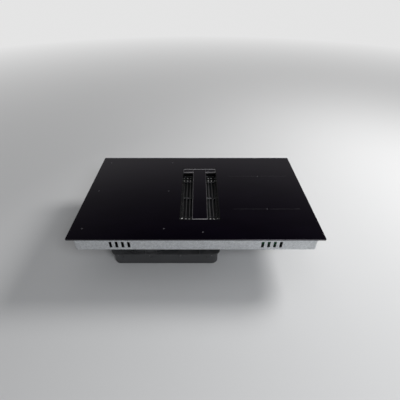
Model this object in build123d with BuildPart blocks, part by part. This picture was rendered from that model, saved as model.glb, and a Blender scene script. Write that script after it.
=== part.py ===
"""Downdraft induction cooktop for an 807 x 491 mm worktop cut-out.

Millimetres, +Z up. The origin is in the middle of the glass, on the worktop's upper face, which is the
underside of the foam seal. +X is to the cook's right, and the cook stands on the -Y side.
"""

import os
from math import cos, radians, sin

from build123d import *

# ---------------------------------------------------------------- driving sizes: glass and air inlet
glass_width = 830.0
glass_depth = 515.0
glass_thickness = 4.0
glass_corner = 5.0
glass_bevel = 0.8

seal_thickness = 1.0
seal_width = 8.0
seal_inset = 3.0

vent_x = 14.0
vent_width = 136.5
vent_length = 323.0
vent_corner = 3.0

collar_wall = 2.0
collar_fit = 0.5
collar_flange = 12.0
collar_flange_thickness = 3.0
collar_gasket_thickness = 0.8
gasket_inset = 3.0
rim_drop = 0.4
cover_ledge = 3.0
filter_depth = 33.0
filter_ledge = 4.0
skirt_length = 34.0

# ---------------------------------------------------------------- T-shaped cover
strip_width = 53.0
crossbar_depth = 25.0
cover_gap = 1.3
cover_rim = 1.2
cover_floor = 2.0
cover_glass_fit = 0.2
wing_seam = 0.1
pad_thickness = 1.0
pad_length = 36.0
pane_bevel = 0.4

# ---------------------------------------------------------------- grease filters and drip tray
filter_height = 13.0
filter_fit = 0.5
filter_parting = 0.4
filter_rail = 6.0
filter_meeting_rail = 3.0
filter_corner = 3.0
slat_pitch = 12.6
slat_width = 9.0
slat_ridge = 2.4
slat_rise = 4.5
slat_sheet = 1.0
slat_drop = 1.0
trough_rise = 4.5
slat_row_gap = 2.0
end_plate_length = 48.0
end_plate_thickness = 1.2
end_plate_lap = 0.5
nub_length = 5.0
nub_width = 3.5
nub_rise = 1.4
nub_taper = 34.0
nub_row_margin = 10.5
nub_row_pitch = 19.0

tray_side_gap = 4.25
tray_end_gap = 5.5
tray_height = 26.0
tray_wall = 1.5
tray_edge = 3.5
tray_lip = 2.5
tray_corner = 14.0
tray_rim_gap = 1.0
tray_rim_wall = 2.0
tray_rim_height = 4.0

# ---------------------------------------------------------------- steel pan under the glass
pan_side_inset = 15.0
pan_end_inset = 15.5
pan_height = 58.0
pan_sheet = 1.0
pan_corner = 8.0
pan_gap = 1.0
vent_slot_width = 9.0
vent_slot_height = 26.0
vent_slot_pitch = 20.0
vent_slot_count = 4
vent_slot_inset = 150.0
vent_slot_drop = 6.0

bracket_leg = 12.0
bracket_width = 24.0
bracket_sheet = 1.2
bracket_inset = 90.0

spring_width = 30.0
spring_sheet = 0.8
spring_bulge = 3.6
spring_top = -8.0
spring_foot = -50.0
spring_base = 12.0
spring_inset = 92.0

# ---------------------------------------------------------------- induction zones
coil_plate_inset = 34.0
coil_plate_sheet = 2.0
coil_plate_margin = 5.0
leg_window_length = 100.0
leg_window_height = 22.0
leg_window_pitch = 130.0
mica_thickness = 1.0
mica_inset = 5.0
mica_overlap = 5.0
coil_thickness = 9.0
ferrite_thickness = 4.0
ferrite_length = 62.0
ferrite_width = 9.0
zone_shift = 6.4
left_coil_width = 236.0
left_coil_depth = 192.0
left_coil_corner = 62.0
right_coil_diameter = 200.0
coil_eye = 22.0
sensor_radius = 6.0
sensor_gap = 1.0

# ---------------------------------------------------------------- electronics
board_thickness = 1.6
board_standoff = 6.0
board_fan_gap = 9.0
left_board_depth = 300.0
left_board_margin = 42.0
right_board_depth = 372.0
right_board_margin = 18.75
right_board_overhang = 6.0
sink_width = 56.0
sink_length = 180.0
sink_height = 26.0
sink_base = 4.0
sink_margin = 8.0
sink_rear = 60.0
fin_thickness = 2.0
fin_count = 8
capacitor_width = 40.0
capacitor_depth = 26.0
capacitor_height = 20.0
capacitor_pitch = 35.0
choke_radius = 18.0
choke_height = 16.0
relay_width = 18.0
relay_depth = 28.0
relay_height = 15.0
relay_pitch = 21.0
mains_board_width = 84.0
mains_board_depth = 168.0
mains_board_y = 25.0
mains_board_gap = 8.0
spacer_radius = 3.5
spacer_inset = 7.0

fan_size = 80.0
fan_wall = 2.0
fan_corner = 5.0
fan_height = 25.0
fan_hub = 35.0
fan_spoke = 4.0
fan_foot = 3.5
fan_foot_gap = 1.5
fan_top_gap = 2.0
fan_pin_drop = 5.0
left_fan_gap = 10.0
left_fan_y = 155.0
right_fan_gap = 14.0
right_fan_y = -150.0
fan_blades = 5
fan_tip_gap = 1.0
fan_pin = 4.0
fan_bearing_gap = 0.05
blade_sheet = 1.2
blade_reach = 11.0
grille_slot = 6.0
grille_pitch = 13.0
grille_margin = 7.0

control_x = 23.0
control_inset = 39.5
control_width = 150.0
control_depth = 36.0
control_height = 13.0
control_wall = 2.0
control_corner = 3.0
control_drop = 1.0
control_leg_width = 16.0
control_leg_depth = 24.0
control_leg_inset = 30.0
control_board_drop = 5.0
control_board_fit = 0.5
control_ledge = 6.0
touch_pitch = 22.0
touch_count = 6
touch_pad = 9.0
touch_shift = 4.0

ribbon_width = 16.0
ribbon_sheet = 1.2
ribbon_bend = 6.0
ribbon_inset = 12.0
ribbon_lap = 24.0

# ---------------------------------------------------------------- air path under the pan
shaft_fit = 0.3
shaft_wall = 2.5
shell_flange = 8.0
flange_thickness = 3.0
shell_corner = 24.0
gasket_thickness = 1.0
gasket_width = 6.0
plenum_height = 60.0
plenum_wall = 2.5
plenum_edge = 5.0
shell_inset = 1.0
rib_sheet = 2.0
rib_root = 0.5
deck_web_rise = 40.0
gusset_drop = 30.0
gusset_inset = 38.0
side_gussets = 4
end_gussets = 3

wheel_diameter = 170.0
wheel_floor_gap = 4.0
wheel_roof_gap = 15.0
wheel_disc = 2.0
wheel_ring = 2.5
blade_count = 26
blade_depth = 17.0
blade_lean = 5.5
blade_bend = 1.6
cutoff_gap = 9.0
volute_growth = 18.0
volute_wall = 2.5
tongue_angle = 45.0
tongue_radius = 4.0
blower_y = -60.0
blower_gap = 1.0
eye_lip = 1.5
eye_gap = 1.5
inlet_curve = 10.0
inlet_flange = 10.0
inlet_throat = 3.0
inlet_sheet = 2.0
roof_gap = 1.5
scroll_rib_drop = 14.0
scroll_rib_count = 6
scroll_rib_start = 185.0
scroll_rib_arc = 110.0
wall_rib_pitch = 50.0
wall_rib_count = 4

duct_width = 222.0
duct_height = 89.0
spigot_reach = 20.0
spigot_wall = 2.0
spigot_fit = 0.3
spigot_collar = 3.0
spigot_collar_lip = 3.0
spigot_insert = 18.0

# ---------------------------------------------------------------- blower motor
rotor_radius = 45.0
rotor_wall = 3.0
rotor_depth = 38.0
rotor_flange = 7.0
rotor_drop = 10.0
wheel_press_fit = 0.05
air_gap = 1.0
stator_radius = 38.0
stator_slots = 9
stator_slot = 8.0
stator_rim = 6.0
shaft_radius = 4.0
shaft_clearance = 0.04
bearing_radius = 9.5
bearing_height = 7.0
bearing_wall = 1.8
seat_clearance = 0.02
mount_radius = 50.0
mount_thickness = 3.0

# ---------------------------------------------------------------- mains connection
terminal_side_inset = 45.0
terminal_rear_inset = 12.0
terminal_width = 110.0
terminal_depth = 80.0
terminal_height = 32.0
terminal_wall = 2.0
terminal_corner = 6.0
wire_hole = 8.0
wire_hole_inset = 14.0
block_width = 62.0
block_depth = 22.0
block_height = 18.0
block_roof = 4.0
block_x = 8.0
block_y = -14.0
terminal_pitch = 11.6
terminal_count = 5
terminal_well = 5.0
gland_bore = 6.5
gland_neck = 9.0
gland_hex = 12.5
gland_fit = 0.1
gland_nut = 3.0
gland_length = 14.0
clamp_width = 40.0
clamp_depth = 9.0
clamp_set_back = 22.0
clamp_foot = 7.0

screw_head = 3.5
screw_head_height = 2.5
screw_count = 4

# ---------------------------------------------------------------- levels and places worked out from them
glass_bottom = seal_thickness
glass_top = glass_bottom + glass_thickness
pan_width = glass_width - 2 * pan_side_inset
pan_depth = glass_depth - 2 * pan_end_inset
pan_bottom = glass_bottom - pan_height
pan_floor = pan_bottom + pan_sheet
pan_inside = pan_width / 2 - pan_sheet

filter_top = glass_top - filter_depth
filter_seat = filter_top - filter_height
skirt_bottom = filter_seat - skirt_length
cover_bottom = glass_bottom - cover_floor
cover_seat = cover_bottom - pad_thickness
well_length = vent_length - 2 * cover_ledge
skirt_width = vent_width - 2 * filter_ledge
skirt_depth = well_length - 2 * filter_ledge
inlet_left = vent_x - vent_width / 2 - collar_wall - collar_flange
inlet_right = vent_x + vent_width / 2 + collar_wall + collar_flange

coil_bottom = glass_bottom - mica_thickness - coil_thickness
coil_plate_top = coil_bottom - ferrite_thickness
board_top = pan_floor + board_standoff + board_thickness

deck_top = pan_bottom - roof_gap - volute_wall - duct_height
roof_bottom = deck_top + duct_height
deck_bottom = deck_top - plenum_wall
plenum_top = deck_bottom - gasket_thickness
plenum_bottom = plenum_top - plenum_height
plenum_floor = plenum_bottom + plenum_wall

shaft_inside_width = skirt_width + 2 * (collar_wall + shaft_fit)
shaft_inside_depth = skirt_depth + 2 * (collar_wall + shaft_fit)
shaft_outer_width = shaft_inside_width + 2 * shaft_wall
shaft_outer_depth = shaft_inside_depth + 2 * shaft_wall
shaft_left = vent_x - shaft_outer_width / 2
shaft_right = vent_x + shaft_outer_width / 2

wheel_radius = wheel_diameter / 2
volute_start = wheel_radius + cutoff_gap
blower_x = shaft_left - shell_flange - blower_gap - volute_wall - volute_start
volute_left = blower_x - volute_start - 3 * volute_growth
volute_front = blower_y - volute_start - volute_growth
outlet_y = pan_depth / 2 - spigot_reach - spigot_collar

plenum_left = volute_left - volute_wall
plenum_right = shaft_right
plenum_middle = (plenum_left + plenum_right) / 2
plenum_width = plenum_right - plenum_left
plenum_depth = 2 * max(volute_wall - volute_front, shaft_outer_depth / 2)

eye_radius = wheel_radius - blade_depth - eye_lip
wheel_bottom = deck_top + wheel_floor_gap
wheel_top = roof_bottom - wheel_roof_gap
motor_top = roof_bottom - mount_thickness

os.makedirs("parts", exist_ok=True)


def save(built, label):
    """Name a finished piece and write it."""
    built.part.label = label
    export_step(built.part, f"parts/{label}.step")


def at(x, y, z):
    """A horizontal sketch plane with its origin at a point."""
    return Plane.XY.move(Location((x, y, z)))


def rounded_ring(width, depth, corner, wall):
    """A rounded rectangle with a rounded hole that leaves `wall` all round; for use inside a sketch."""
    RectangleRounded(width, depth, corner)
    RectangleRounded(width - 2 * wall, depth - 2 * wall, max(corner - wall, 0.8), mode=Mode.SUBTRACT)


# ================================================================ glass top
inlet_cut_width = vent_width + 2 * (collar_wall + collar_fit)
inlet_cut_length = vent_length + 2 * (collar_wall + collar_fit)
collar_ring_width = vent_width + 2 * (collar_wall + collar_flange)
collar_ring_length = vent_length + 2 * (collar_wall + collar_flange)

with BuildPart() as ceramic_glass:
    with BuildSketch(Plane.XY.offset(glass_bottom)):
        RectangleRounded(glass_width, glass_depth, glass_corner)
        with Locations((vent_x, 0)):
            RectangleRounded(inlet_cut_width, inlet_cut_length, vent_corner, mode=Mode.SUBTRACT)
    extrude(amount=glass_thickness)
    chamfer(ceramic_glass.faces().sort_by(Axis.Z)[-1].outer_wire().edges(), glass_bevel)
save(ceramic_glass, "ceramic_glass")

with BuildPart() as worktop_seal:
    with BuildSketch():
        Rectangle(glass_width - 2 * seal_inset, glass_depth - 2 * seal_inset)
        Rectangle(
            glass_width - 2 * (seal_inset + seal_width),
            glass_depth - 2 * (seal_inset + seal_width),
            mode=Mode.SUBTRACT,
        )
    extrude(amount=seal_thickness)
save(worktop_seal, "worktop_seal")

# ================================================================ air inlet
with BuildPart() as inlet_collar:
    # the wall that lines the opening in the glass
    with BuildSketch(at(vent_x, 0, filter_seat - collar_flange_thickness)):
        RectangleRounded(vent_width + 2 * collar_wall, vent_length + 2 * collar_wall, vent_corner)
    extrude(amount=glass_top - rim_drop - filter_seat + collar_flange_thickness)
    # the flange that is bonded under the glass
    flange_top = glass_bottom - collar_gasket_thickness
    with BuildSketch(at(vent_x, 0, flange_top - collar_flange_thickness)):
        RectangleRounded(collar_ring_width, collar_ring_length, collar_flange)
    extrude(amount=collar_flange_thickness)
    # the narrower skirt that reaches down into the air shaft
    with BuildSketch(at(vent_x, 0, skirt_bottom)):
        Rectangle(skirt_width + 2 * collar_wall, skirt_depth + 2 * collar_wall)
    extrude(amount=skirt_length)
    # upper opening, its end ledges for the cover, and the ledge for the filters
    with BuildSketch(at(vent_x, 0, cover_seat)):
        RectangleRounded(vent_width, vent_length, vent_corner - rim_drop)
    extrude(amount=glass_top - cover_seat, mode=Mode.SUBTRACT)
    with BuildSketch(at(vent_x, 0, filter_seat)):
        RectangleRounded(vent_width, well_length, vent_corner - rim_drop)
    extrude(amount=cover_seat - filter_seat, mode=Mode.SUBTRACT)
    with BuildSketch(at(vent_x, 0, skirt_bottom)):
        Rectangle(skirt_width, skirt_depth)
    extrude(amount=skirt_length, mode=Mode.SUBTRACT)
save(inlet_collar, "inlet_collar")

with BuildPart() as collar_gasket:
    with BuildSketch(at(vent_x, 0, flange_top)):
        Rectangle(collar_ring_width - 2 * gasket_inset, collar_ring_length - 2 * gasket_inset)
        Rectangle(inlet_cut_width + gasket_inset, inlet_cut_length + gasket_inset, mode=Mode.SUBTRACT)
    extrude(amount=collar_gasket_thickness)
save(collar_gasket, "collar_gasket")

# ================================================================ T-shaped cover
cover_rear = vent_length / 2 - cover_gap
cover_front = -vent_length / 2 + cover_gap
crossbar_front = cover_rear - crossbar_depth
crossbar_width = vent_width - 2 * cover_gap


wing_width = (crossbar_width - strip_width) / 2
cover_middle = (cover_front + cover_rear) / 2
crossbar_middle = (crossbar_front + cover_rear) / 2


def panes(fit):
    """The long pane and the two wing panes, each `fit` smaller all round; for use inside a sketch."""
    pane_margin = cover_rim + fit
    with Locations((vent_x, cover_middle)):
        Rectangle(strip_width - 2 * pane_margin, cover_rear - cover_front - 2 * pane_margin)
    with Locations((vent_x, crossbar_middle)):
        with GridLocations(crossbar_width - wing_width - cover_rim, 1, 2, 1):
            Rectangle(wing_width - cover_rim - 2 * fit, crossbar_depth - 2 * pane_margin)


with BuildPart() as cover_frame:
    # a long tray, and a welding seam away from it the two wing trays that make the crossbar
    with BuildSketch(Plane.XY.offset(cover_bottom)):
        with Locations((vent_x, cover_middle)):
            Rectangle(strip_width, cover_rear - cover_front)
        with Locations((vent_x, crossbar_middle)):
            with GridLocations(crossbar_width - wing_width + wing_seam, 1, 2, 1):
                Rectangle(wing_width - wing_seam, crossbar_depth)
    extrude(amount=glass_top - cover_bottom)
    upright = cover_frame.edges().filter_by(Axis.Z)
    wing_corners = upright.group_by(Axis.X)[0] + upright.group_by(Axis.X)[-1]
    fillet(upright.group_by(Axis.Y)[0] + wing_corners, cover_rim)
    # each tray's pocket leaves a rim, and the wings open towards the strip
    with BuildSketch(Plane.XY.offset(glass_bottom)):
        panes(0)
    extrude(amount=glass_thickness, mode=Mode.SUBTRACT)
save(cover_frame, "cover_frame")

with BuildPart() as cover_glass:
    with BuildSketch(Plane.XY.offset(glass_bottom)):
        panes(cover_glass_fit)
    extrude(amount=glass_thickness)
    chamfer(cover_glass.faces().group_by(Axis.Z)[-1].edges(), pane_bevel)
save(cover_glass, "cover_glass")

with BuildPart() as cover_pads:
    pad_width = cover_ledge - cover_gap
    with BuildSketch(Plane.XY.offset(cover_seat)):
        with Locations((vent_x, cover_front + pad_width / 2)):
            Rectangle(pad_length, pad_width)
        with Locations((vent_x, cover_rear - pad_width / 2)):
            with GridLocations(crossbar_width - pad_length, 1, 2, 1):
                Rectangle(pad_length, pad_width)
    extrude(amount=pad_thickness)
save(cover_pads, "cover_pads")

# ================================================================ grease filters
filter_width = vent_width - 2 * filter_fit
filter_length = well_length / 2 - filter_fit - filter_parting
filter_inside = filter_width - 2 * filter_rail
trough_columns = int((filter_inside - slat_width) // slat_pitch) + 1
slat_columns = trough_columns - 1
end_plate_top = filter_top - end_plate_thickness


def filter_frame(end):
    """The frame of one filter. `end` is +1 for the rear filter and -1 for the front one."""
    middle = end * (filter_parting + filter_length / 2)
    outer_end = end * (filter_parting + filter_length)
    with BuildPart() as frame:
        with BuildSketch(at(vent_x, middle, filter_seat)):
            RectangleRounded(filter_width, filter_length, filter_corner)
            with Locations((0, end * (filter_meeting_rail - filter_rail) / 2)):
                Rectangle(
                    filter_inside, filter_length - filter_rail - filter_meeting_rail, mode=Mode.SUBTRACT
                )
        extrude(amount=filter_height)
        # the plate that closes the outer end
        with BuildSketch(at(vent_x, outer_end, end_plate_top - end_plate_thickness)):
            with Locations((0, -end * (filter_rail - end_plate_lap + end_plate_length) / 2)):
                Rectangle(filter_inside + 2 * end_plate_lap, end_plate_length - filter_rail + end_plate_lap)
        extrude(amount=end_plate_thickness)
        # two rows of pressed nubs on the plate
        with BuildSketch(at(vent_x, outer_end - end * end_plate_length, end_plate_top)):
            with Locations((0, end * (nub_row_margin + nub_row_pitch / 2))):
                with GridLocations(slat_pitch, nub_row_pitch, slat_columns, 2):
                    Rectangle(nub_length, nub_width)
        extrude(amount=nub_rise, taper=nub_taper)
        # the wall that closes the plate's inner edge and carries the slats
        with BuildSketch(at(vent_x, outer_end - end * end_plate_length, filter_seat + end_plate_thickness)):
            Rectangle(filter_inside + 2 * end_plate_lap, end_plate_thickness)
        extrude(amount=filter_height - 2 * end_plate_thickness)
    return frame


def filter_slats(end):
    """Two rows of folded slats: roofs on top and troughs between them underneath."""
    plate_edge = filter_parting + filter_length - end_plate_length - end_plate_thickness / 2
    rail_edge = filter_parting + filter_meeting_rail
    start = end * rail_edge
    length = plate_edge - rail_edge
    ridge = filter_top - slat_drop
    side = slat_width / 2
    flat = slat_ridge / 2
    trough_top = ridge - slat_rise - slat_row_gap
    with BuildPart() as slats:
        with BuildSketch(Plane.XZ.offset(-start)):
            with Locations((vent_x, ridge - slat_rise)):
                with GridLocations(slat_pitch, 1, slat_columns, 1):
                    Polygon(
                        (-side, 0),
                        (-flat, slat_rise),
                        (flat, slat_rise),
                        (side, 0),
                        (side - slat_sheet, 0),
                        (flat - slat_sheet / 2, slat_rise - slat_sheet),
                        (-flat + slat_sheet / 2, slat_rise - slat_sheet),
                        (-side + slat_sheet, 0),
                        align=None,
                    )
            with Locations((vent_x, trough_top)):
                with GridLocations(slat_pitch, 1, trough_columns, 1):
                    Polygon(
                        (-side, 0),
                        (0, -trough_rise),
                        (side, 0),
                        (side - slat_sheet, 0),
                        (0, slat_sheet - trough_rise),
                        (-side + slat_sheet, 0),
                        align=None,
                    )
        extrude(amount=-end * length)
    return slats


for name, end in (("front", -1), ("rear", 1)):
    save(filter_frame(end), f"{name}_filter_frame")
    save(filter_slats(end), f"{name}_filter_slats")

tray_width = skirt_width - 2 * tray_side_gap
tray_length = skirt_depth - 2 * tray_end_gap
with BuildPart() as drip_tray:
    with BuildSketch(at(vent_x, 0, plenum_floor)):
        RectangleRounded(tray_width, tray_length, tray_corner)
    extrude(amount=tray_height)
    chamfer(drip_tray.faces().sort_by(Axis.Z)[0].edges(), tray_edge)
    offset(amount=-tray_wall, openings=drip_tray.faces().sort_by(Axis.Z)[-1])
    with BuildSketch(at(vent_x, 0, plenum_floor + tray_height - tray_wall)):
        rounded_ring(
            tray_width + 2 * tray_lip, tray_length + 2 * tray_lip, tray_corner + tray_lip,
            tray_lip + tray_wall / 2,
        )
    extrude(amount=tray_wall)
save(drip_tray, "drip_tray")

# ================================================================ steel pan
fan_bore = fan_size - 2 * fan_wall
left_fan = (-pan_inside + left_fan_gap + fan_size / 2, left_fan_y)
right_fan = (pan_inside - right_fan_gap - fan_size / 2, right_fan_y)
terminal_x = pan_width / 2 - terminal_side_inset - terminal_width / 2
terminal_y = pan_depth / 2 - terminal_rear_inset - terminal_depth / 2
wire_hole_x = terminal_x - terminal_width / 2 + wire_hole_inset
vent_slot_x = pan_width / 2 - vent_slot_inset
vent_slot_z = (glass_bottom + pan_bottom) / 2 - vent_slot_drop


with BuildPart() as base_pan:
    with BuildSketch(Plane.XY.offset(pan_bottom)):
        RectangleRounded(pan_width, pan_depth, pan_corner)
    extrude(amount=pan_height)
    offset(amount=-pan_sheet, openings=base_pan.faces().sort_by(Axis.Z)[-1])
    with BuildSketch(at(vent_x, 0, pan_bottom)):
        RectangleRounded(
            vent_width + 2 * (collar_wall + pan_gap), vent_length + 2 * (collar_wall + pan_gap), vent_corner
        )
    extrude(amount=pan_sheet, mode=Mode.SUBTRACT)
    # grilles under the cooling fans
    for fan_x, fan_y in (left_fan, right_fan):
        with BuildSketch(at(fan_x, fan_y, pan_bottom)):
            with GridLocations(1, grille_pitch, 1, int(fan_bore // grille_pitch)):
                Rectangle(fan_bore - 2 * grille_margin, grille_slot)
        extrude(amount=pan_sheet, mode=Mode.SUBTRACT)
    # warm air leaves through slots in all four walls
    with BuildSketch(Plane.XZ.offset(-pan_depth / 2)):
        with Locations((-vent_slot_x, vent_slot_z), (vent_slot_x, vent_slot_z)):
            with GridLocations(vent_slot_pitch, 1, vent_slot_count, 1):
                Rectangle(vent_slot_width, vent_slot_height)
    extrude(amount=pan_depth, mode=Mode.SUBTRACT)
    with BuildSketch(Plane.YZ.offset(-pan_width / 2)):
        with Locations((0, vent_slot_z)):
            with GridLocations(vent_slot_pitch, 1, vent_slot_count, 1):
                Rectangle(vent_slot_width, vent_slot_height)
    extrude(amount=pan_width, mode=Mode.SUBTRACT)
    # the supply wires come up from the terminal box
    with BuildSketch(at(wire_hole_x, terminal_y, pan_bottom)):
        Circle(wire_hole)
    extrude(amount=pan_sheet, mode=Mode.SUBTRACT)
save(base_pan, "base_pan")

with BuildPart() as pan_brackets:
    for side in (-1, 1):
        wall_y = side * (pan_depth / 2 - pan_sheet)
        for bracket_x in (bracket_inset - pan_width / 2, pan_width / 2 - bracket_inset):
            with BuildSketch(Plane.YZ.offset(bracket_x - bracket_width / 2)):
                Polygon(
                    (wall_y, glass_bottom),
                    (wall_y - side * bracket_leg, glass_bottom),
                    (wall_y - side * bracket_leg, glass_bottom - bracket_sheet),
                    (wall_y - side * bracket_sheet, glass_bottom - bracket_sheet),
                    (wall_y - side * bracket_sheet, glass_bottom - bracket_leg),
                    (wall_y, glass_bottom - bracket_leg),
                    align=None,
                )
            extrude(amount=bracket_width)
save(pan_brackets, "pan_brackets")

with BuildPart() as cutout_springs:
    bow_foot = spring_foot + spring_base
    bow_middle = (bow_foot + spring_top) / 2
    for side in (-1, 1):
        wall_x = side * pan_width / 2
        sheet_x = wall_x + side * spring_sheet
        bow_x = wall_x + side * spring_bulge
        for spring_y in (spring_inset - pan_depth / 2, pan_depth / 2 - spring_inset):
            with BuildSketch(Plane.XZ.offset(-spring_y - spring_width / 2)):
                with BuildLine():
                    Polyline((wall_x, spring_foot), (sheet_x, spring_foot), (sheet_x, bow_foot))
                    ThreePointArc((sheet_x, bow_foot), (bow_x, bow_middle), (sheet_x, spring_top))
                    Line((sheet_x, spring_top), (wall_x, spring_top))
                    ThreePointArc(
                        (wall_x, spring_top), (bow_x - side * spring_sheet, bow_middle), (wall_x, bow_foot)
                    )
                    Line((wall_x, bow_foot), (wall_x, spring_foot))
                make_face()
            extrude(amount=spring_width)
save(cutout_springs, "cutout_springs")

# ================================================================ induction coils
coil_plate_depth = pan_depth - 2 * coil_plate_inset
left_plate_width = inlet_left + pan_inside - 2 * coil_plate_margin
left_plate_x = inlet_left - coil_plate_margin - left_plate_width / 2
right_plate_width = pan_inside - inlet_right - 2 * coil_plate_margin
right_plate_x = inlet_right + coil_plate_margin + right_plate_width / 2
zone_pitch = coil_plate_depth / 2
left_zone_x = left_plate_x - zone_shift
right_zone_x = right_plate_x + zone_shift
leg_windows = int(coil_plate_depth // leg_window_pitch)


def coil_plate(middle_x, width):
    """An aluminium sheet with folded legs that stand on the pan."""
    with BuildPart() as plate:
        with BuildSketch(Plane.XZ.offset(-coil_plate_depth / 2)):
            with Locations((middle_x, (pan_floor + coil_plate_top) / 2)):
                Rectangle(width, coil_plate_top - pan_floor)
            with Locations((middle_x, (pan_floor + coil_plate_top) / 2 - coil_plate_sheet)):
                Rectangle(width - 2 * coil_plate_sheet, coil_plate_top - pan_floor, mode=Mode.SUBTRACT)
        extrude(amount=coil_plate_depth)
        # cooling air passes the legs through windows
        with BuildSketch(Plane.YZ.offset(middle_x - width / 2)):
            with Locations((0, (pan_floor + coil_plate_top) / 2)):
                with GridLocations(leg_window_pitch, 1, leg_windows, 1):
                    Rectangle(leg_window_length, leg_window_height)
        extrude(amount=width, mode=Mode.SUBTRACT)
    return plate


def coil(middle_x, middle_y, outline):
    """A flat winding; `outline` draws its outer edge."""
    with BuildPart() as winding:
        with BuildSketch(at(middle_x, middle_y, coil_bottom)):
            outline()
            Circle(coil_eye, mode=Mode.SUBTRACT)
        extrude(amount=coil_thickness)
    return winding


def wide_outline():
    RectangleRounded(left_coil_width, left_coil_depth, left_coil_corner)


def round_outline():
    Circle(right_coil_diameter / 2)


def ferrites(middle_x):
    """Eight flat bars under each coil, spread like spokes."""
    with BuildPart() as bars:
        for row in (-0.5, 0.5):
            with BuildSketch(at(middle_x, row * zone_pitch, coil_plate_top)):
                with PolarLocations(coil_eye + ferrite_length / 2, 8):
                    Rectangle(ferrite_length, ferrite_width)
        extrude(amount=ferrite_thickness)
    return bars


def mica(middle_x, width):
    """The insulating sheet between coils and glass, with an eye for each sensor."""
    with BuildPart() as sheet:
        with BuildSketch(at(middle_x, 0, glass_bottom - mica_thickness)):
            Rectangle(width, coil_plate_depth - 2 * mica_inset)
            with GridLocations(1, zone_pitch, 1, 2):
                Circle(sensor_radius + sensor_gap, mode=Mode.SUBTRACT)
        extrude(amount=mica_thickness)
    return sheet


save(coil_plate(left_plate_x, left_plate_width), "left_coil_plate")
save(coil_plate(right_plate_x, right_plate_width), "right_coil_plate")
for name, row in (("front", -0.5), ("rear", 0.5)):
    save(coil(left_zone_x, row * zone_pitch, wide_outline), f"{name}_left_coil")
    save(coil(right_zone_x, row * zone_pitch, round_outline), f"{name}_right_coil")
save(ferrites(left_zone_x), "left_ferrites")
save(ferrites(right_zone_x), "right_ferrites")
save(mica(left_zone_x, left_coil_width + 2 * mica_overlap), "left_mica")
save(mica(right_zone_x, right_coil_diameter + 2 * mica_overlap), "right_mica")

with BuildPart() as temperature_sensors:
    for zone_x in (left_zone_x, right_zone_x):
        with BuildSketch(at(zone_x, 0, coil_plate_top)):
            with GridLocations(1, zone_pitch, 1, 2):
                Circle(sensor_radius)
        extrude(amount=glass_bottom - coil_plate_top)
save(temperature_sensors, "temperature_sensors")

# ================================================================ power electronics
control_y = control_inset - glass_depth / 2
board_z = pan_floor + board_standoff
left_board_left = left_fan[0] + fan_size / 2 + board_fan_gap
left_board_right = inlet_left - left_board_margin
right_board_left = inlet_right + right_board_margin
right_board_right = right_fan[0] - fan_size / 2 - 2 * board_fan_gap
right_board_y = control_y - right_board_overhang + right_board_depth / 2
left_sink_x = left_board_left + sink_margin + sink_width / 2
right_sink_x = right_board_right - sink_margin - sink_width / 2
mains_board_x = right_board_right + mains_board_gap + mains_board_width / 2


def power_board(left, right, middle_y, depth, parts_left, parts_right):
    """A circuit board with two film capacitors, a choke and a row of relays beside its heat sink."""
    parts_x = (parts_left + parts_right) / 2
    with BuildPart() as board:
        with BuildSketch(at((left + right) / 2, middle_y, board_z)):
            Rectangle(right - left, depth)
        extrude(amount=board_thickness)
        with BuildSketch(at(parts_x, 2 * capacitor_pitch, board_top)):
            with GridLocations(1, capacitor_pitch, 1, 2):
                Rectangle(capacitor_width, capacitor_depth)
        extrude(amount=capacitor_height)
        with BuildSketch(at(parts_x, -capacitor_pitch, board_top)):
            Circle(choke_radius)
            Circle(choke_radius / 3, mode=Mode.SUBTRACT)
        extrude(amount=choke_height)
        with BuildSketch(at(parts_x, -3 * capacitor_pitch, board_top)):
            with GridLocations(relay_pitch, 1, 2, 1):
                Rectangle(relay_width, relay_depth)
        extrude(amount=relay_height)
    return board


def heat_sink(middle_x):
    """An extruded comb that stands on the board."""
    pitch = (sink_width - fin_thickness) / (fin_count - 1)
    with BuildPart() as sink:
        with BuildSketch(Plane.XZ.offset(-sink_rear)):
            with Locations((middle_x, board_top + sink_base / 2)):
                Rectangle(sink_width, sink_base)
            with Locations((middle_x, board_top + sink_height / 2)):
                with GridLocations(pitch, 1, fin_count, 1):
                    Rectangle(fin_thickness, sink_height)
        extrude(amount=sink_length)
    return sink


left_board = power_board(
    left_board_left, left_board_right, 0, left_board_depth, left_sink_x + sink_width / 2, left_board_right
)
right_board = power_board(
    right_board_left,
    right_board_right,
    right_board_y,
    right_board_depth,
    right_board_left,
    right_sink_x - sink_width / 2,
)
save(left_board, "left_power_board")
save(right_board, "right_power_board")
save(heat_sink(left_sink_x), "left_heat_sink")
save(heat_sink(right_sink_x), "right_heat_sink")

with BuildPart() as mains_filter_board:
    with BuildSketch(at(mains_board_x, mains_board_y, board_z)):
        Rectangle(mains_board_width, mains_board_depth)
    extrude(amount=board_thickness)
    with BuildSketch(at(mains_board_x, mains_board_y + capacitor_pitch / 2, board_top)):
        with GridLocations(1, capacitor_pitch, 1, 2):
            Rectangle(capacitor_width, capacitor_depth)
    extrude(amount=capacitor_height)
    with BuildSketch(at(mains_board_x, mains_board_y - 1.5 * capacitor_pitch, board_top)):
        Circle(choke_radius)
        Circle(choke_radius / 3, mode=Mode.SUBTRACT)
    extrude(amount=choke_height)
save(mains_filter_board, "mains_filter_board")

with BuildPart() as board_spacers:
    left_board_width = left_board_right - left_board_left
    right_board_width = right_board_right - right_board_left
    spaced_boards = (
        (left_board_left + left_board_width / 2, 0, left_board_width, left_board_depth),
        (right_board_left + right_board_width / 2, right_board_y, right_board_width, right_board_depth),
        (mains_board_x, mains_board_y, mains_board_width, mains_board_depth),
    )
    for board_x, board_y, board_width, board_depth in spaced_boards:
        with BuildSketch(at(board_x, board_y, pan_floor)):
            with GridLocations(board_width - 2 * spacer_inset, board_depth - 2 * spacer_inset, 2, 2):
                RegularPolygon(spacer_radius, 6)
        extrude(amount=board_standoff)
save(board_spacers, "board_spacers")

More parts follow.
